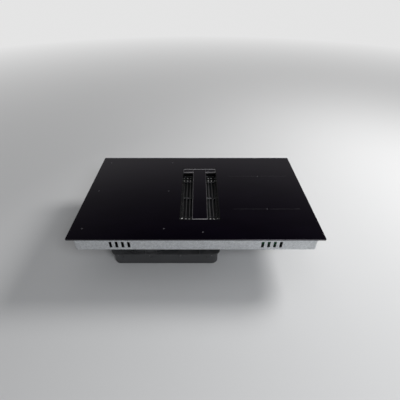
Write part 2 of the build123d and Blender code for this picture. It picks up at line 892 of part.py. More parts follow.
# ================================================================ cooling fans
rotor_bottom_z = pan_floor + fan_foot + fan_foot_gap
rotor_top_z = pan_floor + fan_height - fan_top_gap


def fan_frame(place):
    """A square fan housing with four spokes that carry the pin."""
    with BuildPart() as housing:
        with BuildSketch(at(*place, pan_floor)):
            RectangleRounded(fan_size, fan_size, fan_corner)
            Circle(fan_bore / 2, mode=Mode.SUBTRACT)
        extrude(amount=fan_height)
        with BuildSketch(at(*place, pan_floor)):
            Circle(fan_hub / 2)
            with PolarLocations(fan_bore / 4, 4, start_angle=45):
                Rectangle(fan_bore / 2 + fan_wall, fan_spoke)
        extrude(amount=fan_foot)
        with BuildSketch(at(*place, pan_floor)):
            Circle(fan_pin / 2)
        extrude(amount=fan_height - fan_pin_drop)
    return housing


def fan_rotor(place):
    """A hub with cranked blades set at an angle to the axis."""
    height = rotor_top_z - rotor_bottom_z
    tip = fan_bore / 2 - fan_tip_gap
    blade_rise = height / 2 - blade_sheet
    with BuildPart() as blade:
        with BuildSketch(Plane.YZ.offset(fan_hub / 2 - blade_sheet)):
            Polygon(
                (-blade_reach, -blade_rise),
                (0, blade_sheet),
                (blade_reach, blade_rise),
                (blade_reach, blade_rise - blade_sheet),
                (0, 0),
                (-blade_reach, -blade_rise - blade_sheet),
                align=None,
            )
        extrude(amount=tip - fan_hub / 2)
        # the blade tips follow the bore
        with BuildSketch(Plane.XY.offset(-height)):
            Circle(tip)
        extrude(amount=2 * height, mode=Mode.INTERSECT)
    with BuildPart() as rotor:
        with BuildSketch(at(*place, rotor_bottom_z)):
            Circle(fan_hub / 2)
        extrude(amount=height)
        with Locations(Location((*place, (rotor_bottom_z + rotor_top_z) / 2))):
            with PolarLocations(0, fan_blades):
                add(blade.part)
        # the blind bore that runs on the frame's pin
        bore_top = pan_floor + fan_height - fan_pin_drop + fan_tip_gap
        with BuildSketch(at(*place, rotor_bottom_z)):
            Circle(fan_pin / 2 + fan_bearing_gap)
        extrude(amount=bore_top - rotor_bottom_z, mode=Mode.SUBTRACT)
    return rotor


for name, place in (("left", left_fan), ("right", right_fan)):
    save(fan_frame(place), f"{name}_fan_frame")
    save(fan_rotor(place), f"{name}_fan_rotor")

# ================================================================ touch control
holder_bottom = glass_bottom - control_drop - control_height
control_board_z = holder_bottom + control_height - control_board_drop
pads_bottom = control_board_z + board_thickness
control_inside_width = control_width - 2 * control_wall
control_inside_depth = control_depth - 2 * control_wall
with BuildPart() as control_holder:
    with BuildSketch(at(control_x, control_y, holder_bottom)):
        RectangleRounded(control_width, control_depth, control_corner)
    extrude(amount=control_height)
    with BuildSketch(at(control_x, control_y, holder_bottom + control_wall)):
        Rectangle(control_inside_width, control_inside_depth)
    extrude(amount=control_height, mode=Mode.SUBTRACT)
    # two legs to the pan, and a ledge at each end for the board
    with BuildSketch(at(control_x, control_y, pan_floor)):
        with GridLocations(control_width - 2 * control_leg_inset, 1, 2, 1):
            Rectangle(control_leg_width, control_leg_depth)
    extrude(amount=holder_bottom - pan_floor)
    with BuildSketch(at(control_x, control_y, holder_bottom)):
        with GridLocations(control_inside_width - control_ledge, 1, 2, 1):
            Rectangle(control_ledge, control_inside_depth)
    extrude(amount=control_board_z - holder_bottom)
save(control_holder, "control_holder")

with BuildPart() as control_board:
    with BuildSketch(at(control_x, control_y, control_board_z)):
        Rectangle(control_inside_width - 2 * control_board_fit, control_inside_depth - 2 * control_board_fit)
    extrude(amount=board_thickness)
save(control_board, "control_board")

with BuildPart() as touch_pads:
    with BuildSketch(at(control_x, control_y - touch_shift, pads_bottom)):
        with GridLocations(touch_pitch, 1, touch_count, 1):
            Rectangle(touch_pad, touch_pad)
    extrude(amount=glass_bottom - pads_bottom)
save(touch_pads, "touch_pads")

ribbon_left = control_x + control_width / 2 - ribbon_inset
ribbon_right = right_board_left + ribbon_lap
with BuildPart() as ribbon_cable:
    with BuildSketch(Plane.XZ.offset(-control_y - ribbon_width / 2)) as ribbon_run:
        Polygon(
            (ribbon_left, holder_bottom),
            (ribbon_left + ribbon_sheet, holder_bottom),
            (ribbon_left + ribbon_sheet, board_top + ribbon_sheet),
            (ribbon_right, board_top + ribbon_sheet),
            (ribbon_right, board_top),
            (ribbon_left, board_top),
            align=None,
        )
        outer_bend = (ribbon_left, board_top, 0)
        inner_bend = (ribbon_left + ribbon_sheet, board_top + ribbon_sheet, 0)
        fillet(ribbon_run.vertices().sort_by_distance(outer_bend)[0], ribbon_bend + ribbon_sheet)
        fillet(ribbon_run.vertices().sort_by_distance(inner_bend)[0], ribbon_bend)
    extrude(amount=ribbon_width)
save(ribbon_cable, "ribbon_cable")

# ================================================================ air shaft and plenum
shaft_flange_left = shaft_left - shell_flange
shell_right = plenum_right + shell_flange
shell_left = plenum_left - shell_flange
shell_half_depth = plenum_depth / 2 + shell_flange

with BuildPart() as air_shaft:
    with BuildSketch(at(vent_x, 0, deck_bottom)):
        RectangleRounded(shaft_outer_width, shaft_outer_depth, shaft_wall)
        Rectangle(shaft_inside_width, shaft_inside_depth, mode=Mode.SUBTRACT)
    extrude(amount=pan_bottom - deck_bottom)
    # flange against the pan
    with BuildSketch(at(vent_x, 0, pan_bottom - flange_thickness)):
        RectangleRounded(
            shaft_outer_width + 2 * shell_flange, shaft_outer_depth + 2 * shell_flange, shell_flange
        )
        Rectangle(shaft_inside_width, shaft_inside_depth, mode=Mode.SUBTRACT)
    extrude(amount=flange_thickness)
    # deck over the right-hand part of the plenum
    with BuildSketch(Plane.XY.offset(deck_bottom)):
        with Locations(((shaft_flange_left + shell_right) / 2, 0)):
            Rectangle(shell_right - shaft_flange_left, 2 * shell_half_depth)
        with Locations((vent_x, 0)):
            Rectangle(shaft_inside_width, shaft_inside_depth, mode=Mode.SUBTRACT)
    extrude(amount=plenum_wall)
    deck_corners = air_shaft.edges().filter_by(Axis.Z).group_by(Axis.X)[-1]
    fillet(deck_corners, shell_corner + shell_flange)
    # webs that stiffen the deck
    web_root = shaft_outer_depth / 2 - rib_root
    for side in (-1, 1):
        with BuildSketch(Plane.YZ.offset(vent_x - rib_sheet / 2)):
            Polygon(
                (side * web_root, deck_top),
                (side * (shell_half_depth - shell_inset), deck_top),
                (side * web_root, deck_top + deck_web_rise),
                align=None,
            )
        extrude(amount=rib_sheet)
save(air_shaft, "air_shaft")

with BuildPart() as plenum_base:
    with BuildSketch(at(plenum_middle, 0, plenum_bottom)):
        RectangleRounded(plenum_width, plenum_depth, shell_corner)
    extrude(amount=plenum_height)
    chamfer(plenum_base.faces().sort_by(Axis.Z)[0].edges(), plenum_edge)
    offset(amount=-plenum_wall, openings=plenum_base.faces().sort_by(Axis.Z)[-1])
    with BuildSketch(at(plenum_middle, 0, plenum_top - flange_thickness)):
        rounded_ring(
            plenum_width + 2 * shell_flange,
            plenum_depth + 2 * shell_flange,
            shell_corner + shell_flange,
            shell_flange + plenum_wall / 2,
        )
    extrude(amount=flange_thickness)
    # low rim that holds the drip tray in its place
    rim_wall = tray_rim_gap + tray_rim_wall
    with BuildSketch(at(vent_x, 0, plenum_floor - rib_root)):
        rounded_ring(
            tray_width + 2 * rim_wall, tray_length + 2 * rim_wall, tray_corner + rim_wall, tray_rim_wall
        )
    extrude(amount=tray_rim_height + rib_root)
    # gussets under the flange
    flange_under = plenum_top - flange_thickness
    for side in (-1, 1):
        gusset_root = side * (plenum_depth / 2 - rib_root)
        for gusset in range(side_gussets):
            gusset_step = (plenum_width - 2 * gusset_inset) / (side_gussets - 1)
            gusset_x = plenum_left + gusset_inset + gusset * gusset_step
            with BuildSketch(Plane.YZ.offset(gusset_x - rib_sheet / 2)):
                Polygon(
                    (gusset_root, flange_under),
                    (side * (shell_half_depth - shell_inset), flange_under),
                    (gusset_root, flange_under - gusset_drop),
                    align=None,
                )
            extrude(amount=rib_sheet)
        gusset_root = plenum_middle + side * (plenum_width / 2 - rib_root)
        for gusset in range(end_gussets):
            gusset_step = (plenum_depth - 2 * gusset_inset) / (end_gussets - 1)
            gusset_y = gusset_inset - plenum_depth / 2 + gusset * gusset_step
            with BuildSketch(Plane.XZ.offset(-gusset_y - rib_sheet / 2)):
                Polygon(
                    (gusset_root, flange_under),
                    (gusset_root + side * (shell_flange + rib_root - shell_inset), flange_under),
                    (gusset_root, flange_under - gusset_drop),
                    align=None,
                )
            extrude(amount=rib_sheet)
save(plenum_base, "plenum_base")

with BuildPart() as plenum_gasket:
    with BuildSketch(at(plenum_middle, 0, plenum_top)):
        rounded_ring(
            plenum_width + 2 * (shell_flange - shell_inset),
            plenum_depth + 2 * (shell_flange - shell_inset),
            shell_corner + shell_flange - shell_inset,
            gasket_width,
        )
    extrude(amount=gasket_thickness)
save(plenum_gasket, "plenum_gasket")

# ================================================================ blower scroll
# The spiral is three arcs. Each is larger than the one before by the growth, and they share tangents.
start_centre = (blower_x, blower_y)
side_centre = (blower_x - volute_growth, blower_y)
front_centre = (blower_x - volute_growth, blower_y + volute_growth)
side_radius = volute_start + volute_growth
front_radius = volute_start + 2 * volute_growth
outlet_right = volute_left + duct_width
outlet_x = volute_left + duct_width / 2
outlet_z = deck_top + duct_height / 2
throat_y = outlet_y - 2 * spigot_insert
tongue = (
    blower_x + volute_start * cos(radians(tongue_angle)),
    blower_y + volute_start * sin(radians(tongue_angle)),
)

with BuildSketch() as air_outline:
    with BuildLine():
        Line((outlet_right, outlet_y), (volute_left, outlet_y))
        Line((volute_left, outlet_y), (volute_left, front_centre[1]))
        CenterArc(front_centre, front_radius, 180, 90)
        CenterArc(side_centre, side_radius, 270, 90)
        CenterArc(start_centre, volute_start, 0, tongue_angle)
        Line(tongue, (outlet_right, throat_y))
        Line((outlet_right, throat_y), (outlet_right, outlet_y))
    make_face()
    fillet(air_outline.vertices().sort_by_distance((*tongue, 0))[0], tongue_radius)


def grown_outline(margin):
    """The spiral's outline moved out by a margin and cut off square at the outlet."""
    with BuildSketch() as grown:
        add(air_outline.sketch)
        offset(amount=margin, kind=Kind.INTERSECTION)
        with Locations((outlet_x, outlet_y + margin)):
            Rectangle(2 * duct_width, 2 * margin, mode=Mode.SUBTRACT)
    return grown.sketch


outer_outline = grown_outline(volute_wall)
scroll_roof = roof_bottom + volute_wall

with BuildPart() as scroll_housing:
    with BuildSketch(Plane.XY.offset(deck_top)):
        add(outer_outline)
    extrude(amount=scroll_roof - deck_top)
    # flange on the sides that the air shaft leaves free
    with BuildSketch(Plane.XY.offset(deck_top)):
        add(grown_outline(volute_wall + shell_flange))
        with Locations((shaft_flange_left - blower_gap + plenum_width / 2, 0)):
            Rectangle(plenum_width, 2 * pan_depth, mode=Mode.SUBTRACT)
    extrude(amount=flange_thickness)
    # ribs on the outside, round the spiral and along the straight wall
    with BuildSketch(Plane.XY.offset(deck_top)):
        with Locations(start_centre):
            with PolarLocations(wheel_radius, scroll_rib_count, scroll_rib_start, scroll_rib_arc):
                Rectangle(wheel_diameter, rib_sheet)
        with Locations((volute_left - volute_wall, outlet_y - wall_rib_count * wall_rib_pitch / 2)):
            with GridLocations(1, wall_rib_pitch, 1, wall_rib_count):
                Rectangle(2 * shell_flange, rib_sheet)
        add(grown_outline(volute_wall + shell_flange - shell_inset), mode=Mode.INTERSECT)
    extrude(amount=duct_height - scroll_rib_drop)
    # the air space
    with BuildSketch(Plane.XY.offset(deck_top)):
        add(air_outline.sketch)
    extrude(amount=duct_height, mode=Mode.SUBTRACT)
save(scroll_housing, "scroll_housing")

throat = eye_radius - eye_gap - inlet_sheet
mouth = throat + inlet_curve
with BuildPart() as scroll_floor:
    floor_right = shaft_flange_left - blower_gap
    with BuildSketch(Plane.XY.offset(deck_bottom)) as floor_outline:
        with Locations(((shell_left + floor_right) / 2, 0)):
            Rectangle(floor_right - shell_left, 2 * shell_half_depth)
        fillet(floor_outline.vertices().group_by(Axis.X)[0], shell_corner + shell_flange)
        # the part behind the plenum closes the outlet from below
        with Locations((outlet_x, outlet_y / 2)):
            with Locations((0, outlet_y / 4)):
                Rectangle(duct_width + 2 * volute_wall, outlet_y / 2)
        with Locations(start_centre):
            Circle(mouth + inlet_sheet, mode=Mode.SUBTRACT)
    extrude(amount=plenum_wall)
save(scroll_floor, "scroll_floor")

with BuildPart() as inlet_ring:
    # a flat flange under the floor, a bell, and a short throat that reaches into the wheel's eye
    flange_z = deck_bottom - inlet_sheet
    throat_z = wheel_bottom - eye_gap
    with BuildSketch(Plane(origin=(*start_centre, 0), x_dir=(1, 0, 0), z_dir=(0, -1, 0))):
        Polygon(
            (mouth + inlet_flange, deck_bottom),
            (mouth + inlet_flange, flange_z),
            (mouth, flange_z),
            (throat, throat_z - inlet_sheet),
            (throat, throat_z + inlet_throat),
            (throat + inlet_sheet, throat_z + inlet_throat),
            (throat + inlet_sheet, throat_z),
            (mouth + inlet_sheet / 2, deck_bottom),
            align=None,
        )
    revolve(axis=Axis((*start_centre, 0), (0, 0, 1)))
save(inlet_ring, "inlet_ring")

# ================================================================ blower motor and wheel
rotor_top = motor_top - rotor_drop
rotor_bottom = rotor_top - rotor_depth
tube_radius = bearing_radius + bearing_wall
tube_bottom = rotor_bottom + 2 * rotor_wall
stator_bottom = tube_bottom + air_gap
blower = (blower_x, blower_y)

with BuildPart() as motor_mount:
    with BuildSketch(at(*blower, motor_top)):
        Circle(mount_radius)
    extrude(amount=mount_thickness)
    with BuildSketch(at(*blower, tube_bottom)):
        Circle(tube_radius)
    extrude(amount=motor_top - tube_bottom)
    with BuildSketch(at(*blower, tube_bottom)):
        Circle(bearing_radius)
    extrude(amount=motor_top - tube_bottom, mode=Mode.SUBTRACT)
save(motor_mount, "motor_mount")

with BuildPart() as motor_bearings:
    for bearing_z in (tube_bottom, motor_top - bearing_height):
        with BuildSketch(at(*blower, bearing_z)):
            Circle(bearing_radius - seat_clearance)
            Circle(shaft_radius, mode=Mode.SUBTRACT)
        extrude(amount=bearing_height)
save(motor_bearings, "motor_bearings")

with BuildPart() as motor_stator:
    with BuildSketch(at(*blower, stator_bottom)):
        Circle(stator_radius)
        with PolarLocations((stator_radius + tube_radius) / 2, stator_slots):
            Rectangle(stator_radius - tube_radius - 2 * stator_rim, stator_slot, mode=Mode.SUBTRACT)
        Circle(tube_radius + seat_clearance, mode=Mode.SUBTRACT)
    extrude(amount=rotor_top - rotor_wall - stator_bottom)
save(motor_stator, "motor_stator")

with BuildPart() as motor_rotor:
    with BuildSketch(at(*blower, rotor_bottom)):
        Circle(rotor_radius)
    extrude(amount=rotor_depth)
    # the flange that carries the wheel's disc
    with BuildSketch(at(*blower, wheel_top - wheel_disc - rotor_wall)):
        Circle(rotor_radius + rotor_flange)
    extrude(amount=rotor_wall)
    with BuildSketch(at(*blower, rotor_bottom + rotor_wall)):
        Circle(stator_radius + air_gap)
    extrude(amount=rotor_depth, mode=Mode.SUBTRACT)
    with BuildSketch(at(*blower, rotor_bottom)):
        Circle(shaft_radius - shaft_clearance)
    extrude(amount=motor_top - air_gap - rotor_bottom)
save(motor_rotor, "motor_rotor")

with BuildPart() as wheel_blade:
    # forward-curved: the outer edge leans into the turn
    blade_foot = wheel_radius - blade_depth
    blade_knee = blade_foot + 0.6 * blade_depth
    tip_x = wheel_radius * cos(radians(blade_lean)) - rib_root
    tip_y = -wheel_radius * sin(radians(blade_lean))
    with BuildSketch(Plane.XY.offset(wheel_bottom + wheel_ring / 2)):
        Polygon(
            (blade_foot, 0),
            (blade_knee, -blade_bend),
            (tip_x, tip_y),
            (tip_x - blade_sheet / 2, tip_y - blade_sheet),
            (blade_knee, -blade_bend - blade_sheet),
            (blade_foot, -blade_sheet),
            align=None,
        )
    extrude(amount=wheel_top - wheel_disc / 2 - wheel_bottom - wheel_ring / 2)

with BuildPart() as impeller:
    with BuildSketch(at(*blower, wheel_top - wheel_disc)):
        Circle(wheel_radius)
        Circle(rotor_radius + wheel_press_fit, mode=Mode.SUBTRACT)
    extrude(amount=wheel_disc)
    with BuildSketch(at(*blower, wheel_bottom)):
        Circle(wheel_radius)
        Circle(eye_radius, mode=Mode.SUBTRACT)
    extrude(amount=wheel_ring)
    with Locations(Location((*blower, 0))):
        with PolarLocations(0, blade_count):
            add(wheel_blade.part)
save(impeller, "impeller")

# ================================================================ duct spigot
sleeve_width = duct_width - 2 * spigot_wall - 2 * spigot_fit
sleeve_height = duct_height - 2 * spigot_wall - 2 * spigot_fit


def outlet_plane(y):
    """A sketch plane square to the outlet, facing backwards, centred on it."""
    return Plane(origin=(outlet_x, y, outlet_z), x_dir=(-1, 0, 0), z_dir=(0, 1, 0))


with BuildPart() as duct_spigot:
    # the end that sits in the scroll's outlet, then a collar, then the sleeve that the duct slides over
    with BuildSketch(outlet_plane(outlet_y - spigot_insert)):
        Rectangle(duct_width - 2 * spigot_fit, duct_height - 2 * spigot_fit)
    extrude(amount=spigot_insert + gasket_thickness)
    with BuildSketch(outlet_plane(outlet_y + gasket_thickness)):
        Rectangle(duct_width + 2 * (volute_wall + spigot_collar_lip), duct_height + 2 * volute_wall)
    extrude(amount=spigot_collar - gasket_thickness)
    with BuildSketch(outlet_plane(outlet_y)):
        RectangleRounded(sleeve_width, sleeve_height, spigot_collar)
    extrude(amount=spigot_collar + spigot_reach)
    with BuildSketch(outlet_plane(outlet_y - spigot_insert)):
        Rectangle(sleeve_width - 2 * spigot_wall, sleeve_height - 2 * spigot_wall)
    extrude(amount=spigot_insert + spigot_collar + spigot_reach, mode=Mode.SUBTRACT)
save(duct_spigot, "duct_spigot")

with BuildPart() as spigot_seal:
    with BuildSketch(outlet_plane(outlet_y)):
        Rectangle(duct_width + 2 * volute_wall, duct_height + 2 * volute_wall)
        Rectangle(duct_width, duct_height, mode=Mode.SUBTRACT)
    extrude(amount=gasket_thickness)
save(spigot_seal, "spigot_seal")

# ================================================================ mains connection
terminal_bottom = pan_bottom - terminal_height
gland_z = (pan_bottom + terminal_bottom) / 2
gland_y = terminal_y + terminal_depth / 2
block_top = pan_bottom - terminal_wall
clamp_y = gland_y - clamp_set_back

with BuildPart() as terminal_box:
    with BuildSketch(at(terminal_x, terminal_y, terminal_bottom)):
        RectangleRounded(terminal_width, terminal_depth, terminal_corner)
    extrude(amount=terminal_height)
    offset(amount=-terminal_wall, openings=terminal_box.faces().sort_by(Axis.Z)[0])
    with BuildSketch(Plane.XZ.offset(-gland_y)):
        with Locations((terminal_x, gland_z)):
            Circle(gland_neck)
    extrude(amount=2 * terminal_wall, mode=Mode.SUBTRACT)
    with BuildSketch(at(wire_hole_x, terminal_y, pan_bottom - terminal_wall)):
        Circle(wire_hole)
    extrude(amount=terminal_wall, mode=Mode.SUBTRACT)
save(terminal_box, "terminal_box")

with BuildPart() as terminal_cover:
    with BuildSketch(at(terminal_x, terminal_y, terminal_bottom - terminal_wall)):
        RectangleRounded(terminal_width, terminal_depth, terminal_corner)
    extrude(amount=terminal_wall)
    chamfer(terminal_cover.faces().sort_by(Axis.Z)[0].edges(), terminal_wall / 2)
save(terminal_cover, "terminal_cover")

with BuildPart() as terminal_block:
    # a roof that is screwed to the box, and under it the wells that take the wires
    with BuildSketch(at(terminal_x + block_x, terminal_y + block_y, block_top - block_height)):
        Rectangle(block_width, block_depth)
        with GridLocations(terminal_pitch, block_depth / 2, terminal_count, 2):
            Rectangle(terminal_well, terminal_well, mode=Mode.SUBTRACT)
    extrude(amount=block_height - block_roof)
    with BuildSketch(at(terminal_x + block_x, terminal_y + block_y, block_top - block_roof)):
        Rectangle(block_width, block_depth)
    extrude(amount=block_roof)
save(terminal_block, "terminal_block")

with BuildPart() as cable_clamp:
    with BuildSketch(Plane.XZ.offset(-clamp_y)):
        with Locations((terminal_x, gland_z)):
            Rectangle(clamp_width, gland_bore)
            Circle(gland_neck)
            Circle(gland_bore, mode=Mode.SUBTRACT)
    extrude(amount=clamp_depth)
    # a foot at each end ties the clamp to the box's roof
    with BuildSketch(at(terminal_x, clamp_y - clamp_depth / 2, gland_z)):
        with GridLocations(clamp_width - clamp_foot, 1, 2, 1):
            Rectangle(clamp_foot, clamp_depth)
    extrude(amount=block_top - gland_z)
save(cable_clamp, "cable_clamp")

with BuildPart() as cable_gland:
    # the hexagon outside, the neck through the wall, and the lock nut inside
    with BuildSketch(Plane.XZ.offset(-gland_y)):
        with Locations((terminal_x, gland_z)):
            RegularPolygon(gland_hex, 6)
    extrude(amount=terminal_wall + gland_nut - gland_length)
    with BuildSketch(Plane.XZ.offset(-gland_y)):
        with Locations((terminal_x, gland_z)):
            Circle(gland_neck - gland_fit)
    extrude(amount=terminal_wall)
    with BuildSketch(Plane.XZ.offset(terminal_wall - gland_y)):
        with Locations((terminal_x, gland_z)):
            RegularPolygon(gland_hex, 6)
    extrude(amount=gland_nut)
    with BuildSketch(Plane.XZ.offset(-gland_y)):
        with Locations((terminal_x, gland_z)):
            Circle(gland_bore)
    extrude(amount=gland_length, both=True, mode=Mode.SUBTRACT)
save(cable_gland, "cable_gland")

# ================================================================ screws under the plenum flange
screw_pitch_x = (plenum_width - 2 * shell_corner) / (screw_count - 1)
screw_pitch_y = (plenum_depth - 2 * shell_corner) / (screw_count - 1)
with BuildPart() as housing_screws:
    with BuildSketch(at(plenum_middle, 0, plenum_top - flange_thickness - screw_head_height)):
        with GridLocations(screw_pitch_x, plenum_depth + shell_flange, screw_count, 2):
            RegularPolygon(screw_head, 6)
        with GridLocations(plenum_width + shell_flange, screw_pitch_y, 2, screw_count):
            RegularPolygon(screw_head, 6)
    extrude(amount=screw_head_height)
save(housing_screws, "housing_screws")
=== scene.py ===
"""Finishes, printed marks, rivets and the studio of a downdraft induction cooktop. Metres, +Z up."""

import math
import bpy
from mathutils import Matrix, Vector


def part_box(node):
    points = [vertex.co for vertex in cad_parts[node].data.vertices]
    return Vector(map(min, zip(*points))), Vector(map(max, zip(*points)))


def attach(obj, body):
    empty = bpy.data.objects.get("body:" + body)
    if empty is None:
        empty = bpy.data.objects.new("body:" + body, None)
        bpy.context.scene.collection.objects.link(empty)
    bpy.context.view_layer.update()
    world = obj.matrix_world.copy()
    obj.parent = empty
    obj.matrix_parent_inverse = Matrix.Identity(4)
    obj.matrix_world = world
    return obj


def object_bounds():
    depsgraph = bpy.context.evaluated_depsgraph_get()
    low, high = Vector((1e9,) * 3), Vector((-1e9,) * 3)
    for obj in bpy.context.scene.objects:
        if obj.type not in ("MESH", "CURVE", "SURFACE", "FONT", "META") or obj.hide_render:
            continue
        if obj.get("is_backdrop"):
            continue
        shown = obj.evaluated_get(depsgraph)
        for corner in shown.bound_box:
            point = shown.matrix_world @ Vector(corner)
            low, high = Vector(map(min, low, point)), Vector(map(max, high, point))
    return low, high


bl_info = {
    "name": "Downdraft Induction Cooktop",
    "version": (1, 0, 0),
    "blender": (4, 5, 0),
    "location": "View3D > Sidebar > Cooktop",
    "description": "Gives the cooktop its finishes, printed marks and rivets, and sets up its studio",
    "category": "Object",
}

import bmesh
import bpy
from bpy.props import FloatProperty, FloatVectorProperty, PointerProperty
from mathutils import Euler, Matrix, Vector

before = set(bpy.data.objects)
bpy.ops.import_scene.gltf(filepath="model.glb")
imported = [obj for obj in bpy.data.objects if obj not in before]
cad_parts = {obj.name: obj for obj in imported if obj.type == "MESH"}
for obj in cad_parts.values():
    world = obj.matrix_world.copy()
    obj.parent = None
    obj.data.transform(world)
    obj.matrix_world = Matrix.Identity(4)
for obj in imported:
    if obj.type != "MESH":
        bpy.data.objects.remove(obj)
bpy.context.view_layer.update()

MM = 0.001
# where a zone that is open on one side ends, past every face of the cooktop
FAR = 1.0
# width of the soft border of a zone
ZONE_BORDER = 0.1 * MM

_, glass_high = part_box("ceramic_glass")
coil_low, coil_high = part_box("front_right_coil")
frame_low, frame_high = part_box("cover_frame")
filter_low, filter_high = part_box("rear_filter_frame")
slat_low, slat_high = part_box("rear_filter_slats")

# a painted highlight: a near-white band along the top rims of the cover's frame, and the front edge of the cover's
# two wings
rim_highlight_width = 1.3 * MM
wing_depth = 25.0 * MM
wing_front = frame_high.y - wing_depth

# the grease filters: a painted highlight on the tops of the nubs in two rows on each end plate, a painted highlight
# on the crests of the slats, and rivets on the rails in line with the nubs
plate_length = 40.0 * MM
nub_rows = (11.0 * MM, 30.0 * MM)
nub_highlight_reach = 1.35 * MM
crest_highlight_depth = 0.6 * MM
rail_top = -28.0 * MM
rivet_inset = 3.0 * MM
rivet_radius = 2.2 * MM
rivet_rise = 1.3 * MM


# ---------------------------------------------------------------- settings
def tone(name, description, default):
    """A colour setting."""
    return FloatVectorProperty(
        name=name, description=description, default=default, subtype="COLOR", size=3, min=0.0, max=1.0
    )


def length(name, description, default):
    """A length setting."""
    return FloatProperty(
        name=name, description=description, default=default, min=0.0, unit="LENGTH", subtype="DISTANCE", precision=5
    )


def position(name, description, default):
    """A place along one axis."""
    return FloatProperty(name=name, description=description, default=default, unit="LENGTH", precision=5)


def share(name, description, default):
    """A setting from nothing to full."""
    return FloatProperty(name=name, description=description, default=default, min=0.0, max=1.0, subtype="FACTOR")


def watts(name, description, default):
    """The power of a lamp."""
    return FloatProperty(name=name, description=description, default=default, min=0.0, unit="POWER")


class CooktopGlass(bpy.types.PropertyGroup):
    """The glass and what is printed on it."""

    body: tone("Glass", "Colour of the black glass ceramic", (0.0017, 0.0011, 0.0029))
    polish: share("Polish", "Roughness of the polished face", 0.035)
    ground: tone("Ground edge", "Colour of the ground edge", (0.012, 0.012, 0.014))
    ground_width: length("Edge width", "Width of the ground bevel seen from above", 0.9 * MM)
    satin: share("Satin", "Roughness of the ground edge", 0.38)
    print_tone: tone("Print", "Colour of the printed marks", (0.11, 0.11, 0.12))
    line_tone: tone("Zone line", "Colour of the faint line across a round zone", (0.035, 0.035, 0.038))
    mark_size: length("Mark", "Width of a printed cross", 7.0 * MM)
    mark_stroke: length("Stroke", "Width of a printed stroke", 0.9 * MM)
    print_height: length("Print height", "Thickness of the print", 0.03 * MM)
    wide_zone: length("Wide zone", "Width of the left cooking zone", 270.0 * MM)
    zone_rows: length("Zone rows", "Depth of the left cooking zone", 420.0 * MM)
    wide_zone_x: position("Wide zone, sideways", "Middle of the left cooking zone", -240.0 * MM)
    wide_zone_y: position("Wide zone, depth", "Middle of the left cooking zone", 3.0 * MM)
    round_spread: length("Round zones", "Distance between the two right cooking zones", 212.0 * MM)
    zone_line: length("Line length", "Length of the line across a round zone", 244.0 * MM)
    line_width: length("Line width", "Width of the line across a round zone", 0.6 * MM)
    key_x: position("Key, sideways", "Place of the touch key's mark", 23.2 * MM)
    key_y: position("Key, depth", "Place of the touch key's mark", -223.5 * MM)


class CooktopMetals(bpy.types.PropertyGroup):
    """Sheet, cast and extruded metal."""

    cover: tone("Cover frame", "Dark anodised aluminium of the cover's frame", (0.20, 0.195, 0.205))
    # painted highlight: the near-white colour of the top edges that run across the cover
    rim_highlight: tone("Buffed edges", "Edges across the cover, where it is gripped", (0.93, 0.91, 0.94))
    # painted shade: the slats' steel is kept dark where the folds lie in shade
    filter_steel: tone("Filter", "Stainless steel in the folds of the grease filters", (0.16, 0.16, 0.165))
    # painted highlight: the lighter band along the crests of the slats
    crest_highlight: tone("Crests", "Bright crests of the folded slats", (0.27, 0.27, 0.28))
    # painted highlight on the tops of the nubs; the rivets are made of this bright steel too
    nub_highlight_and_rivet_steel: tone("Nubs", "Bare steel of the pressed nubs and of the rivets", (0.95, 0.95, 0.95))
    coat: tone("Coat", "Dark coat on the frames of the grease filters", (0.07, 0.07, 0.073))
    zinc: tone("Zinc", "Galvanised steel of the pan", (0.60, 0.62, 0.64))
    dust: tone("Dust", "Thin dust on the galvanised steel", (0.35, 0.34, 0.32))
    spring: tone("Spring", "Bright spring steel", (0.55, 0.55, 0.56))
    alloy: tone("Alloy", "Plain aluminium", (0.78, 0.78, 0.79))
    iron: tone("Core iron", "Stacked core sheets of the motor", (0.22, 0.22, 0.24))


class CooktopMouldings(bpy.types.PropertyGroup):
    """Moulded plastic, rubber and foam."""

    collar: tone("Collar", "Gloss black moulding that lines the inlet", (0.0025, 0.0025, 0.003))
    housing: tone("Housing", "Moulding of the air housings", (0.042, 0.043, 0.046))
    tray: tone("Tray", "Moulding of the drip tray", (0.075, 0.077, 0.082))
    duct: tone("Duct", "Moulding of the outlet sleeve", (0.62, 0.62, 0.60))
    wheel: tone("Wheel", "Moulding of the blower wheel", (0.12, 0.12, 0.13))
    fan: tone("Fan", "Moulding of the cooling fans", (0.02, 0.02, 0.021))
    rubber: tone("Rubber", "Moulded rubber", (0.02, 0.02, 0.02))
    foam: tone("Foam", "Closed-cell foam", (0.025, 0.025, 0.026))


class CooktopElectrics(bpy.types.PropertyGroup):
    """Windings, boards and terminals."""

    litz: tone("Winding", "Lacquered copper strands", (0.42, 0.17, 0.07))
    ferrite: tone("Ferrite", "Sintered ferrite", (0.05, 0.05, 0.055))
    mica: tone("Mica", "Pressed mica sheet", (0.62, 0.53, 0.38))
    mask: tone("Solder mask", "Green lacquer of the boards", (0.015, 0.14, 0.05))
    copper: tone("Tracks", "Lacquer over the copper tracks", (0.04, 0.26, 0.10))
    component: tone("Components", "Moulded cases of the boards' components", (0.035, 0.035, 0.04))
    board_face: length("Board face", "Height above a board's underside at which its components begin", 1.7 * MM)
    ribbon: tone("Ribbon cable", "Cores of the ribbon cable", (0.5, 0.5, 0.52))
    ribbon_groove: tone("Ribbon grooves", "Grooves between the ribbon cable's cores", (0.25, 0.25, 0.27))
    holder: tone("Holder", "Moulding that holds the touch control", (0.05, 0.05, 0.052))
    ceramic: tone("Ceramic", "Sensors and spacers", (0.78, 0.77, 0.72))
    terminal: tone("Terminals", "Moulding of the terminal block", (0.60, 0.58, 0.52))


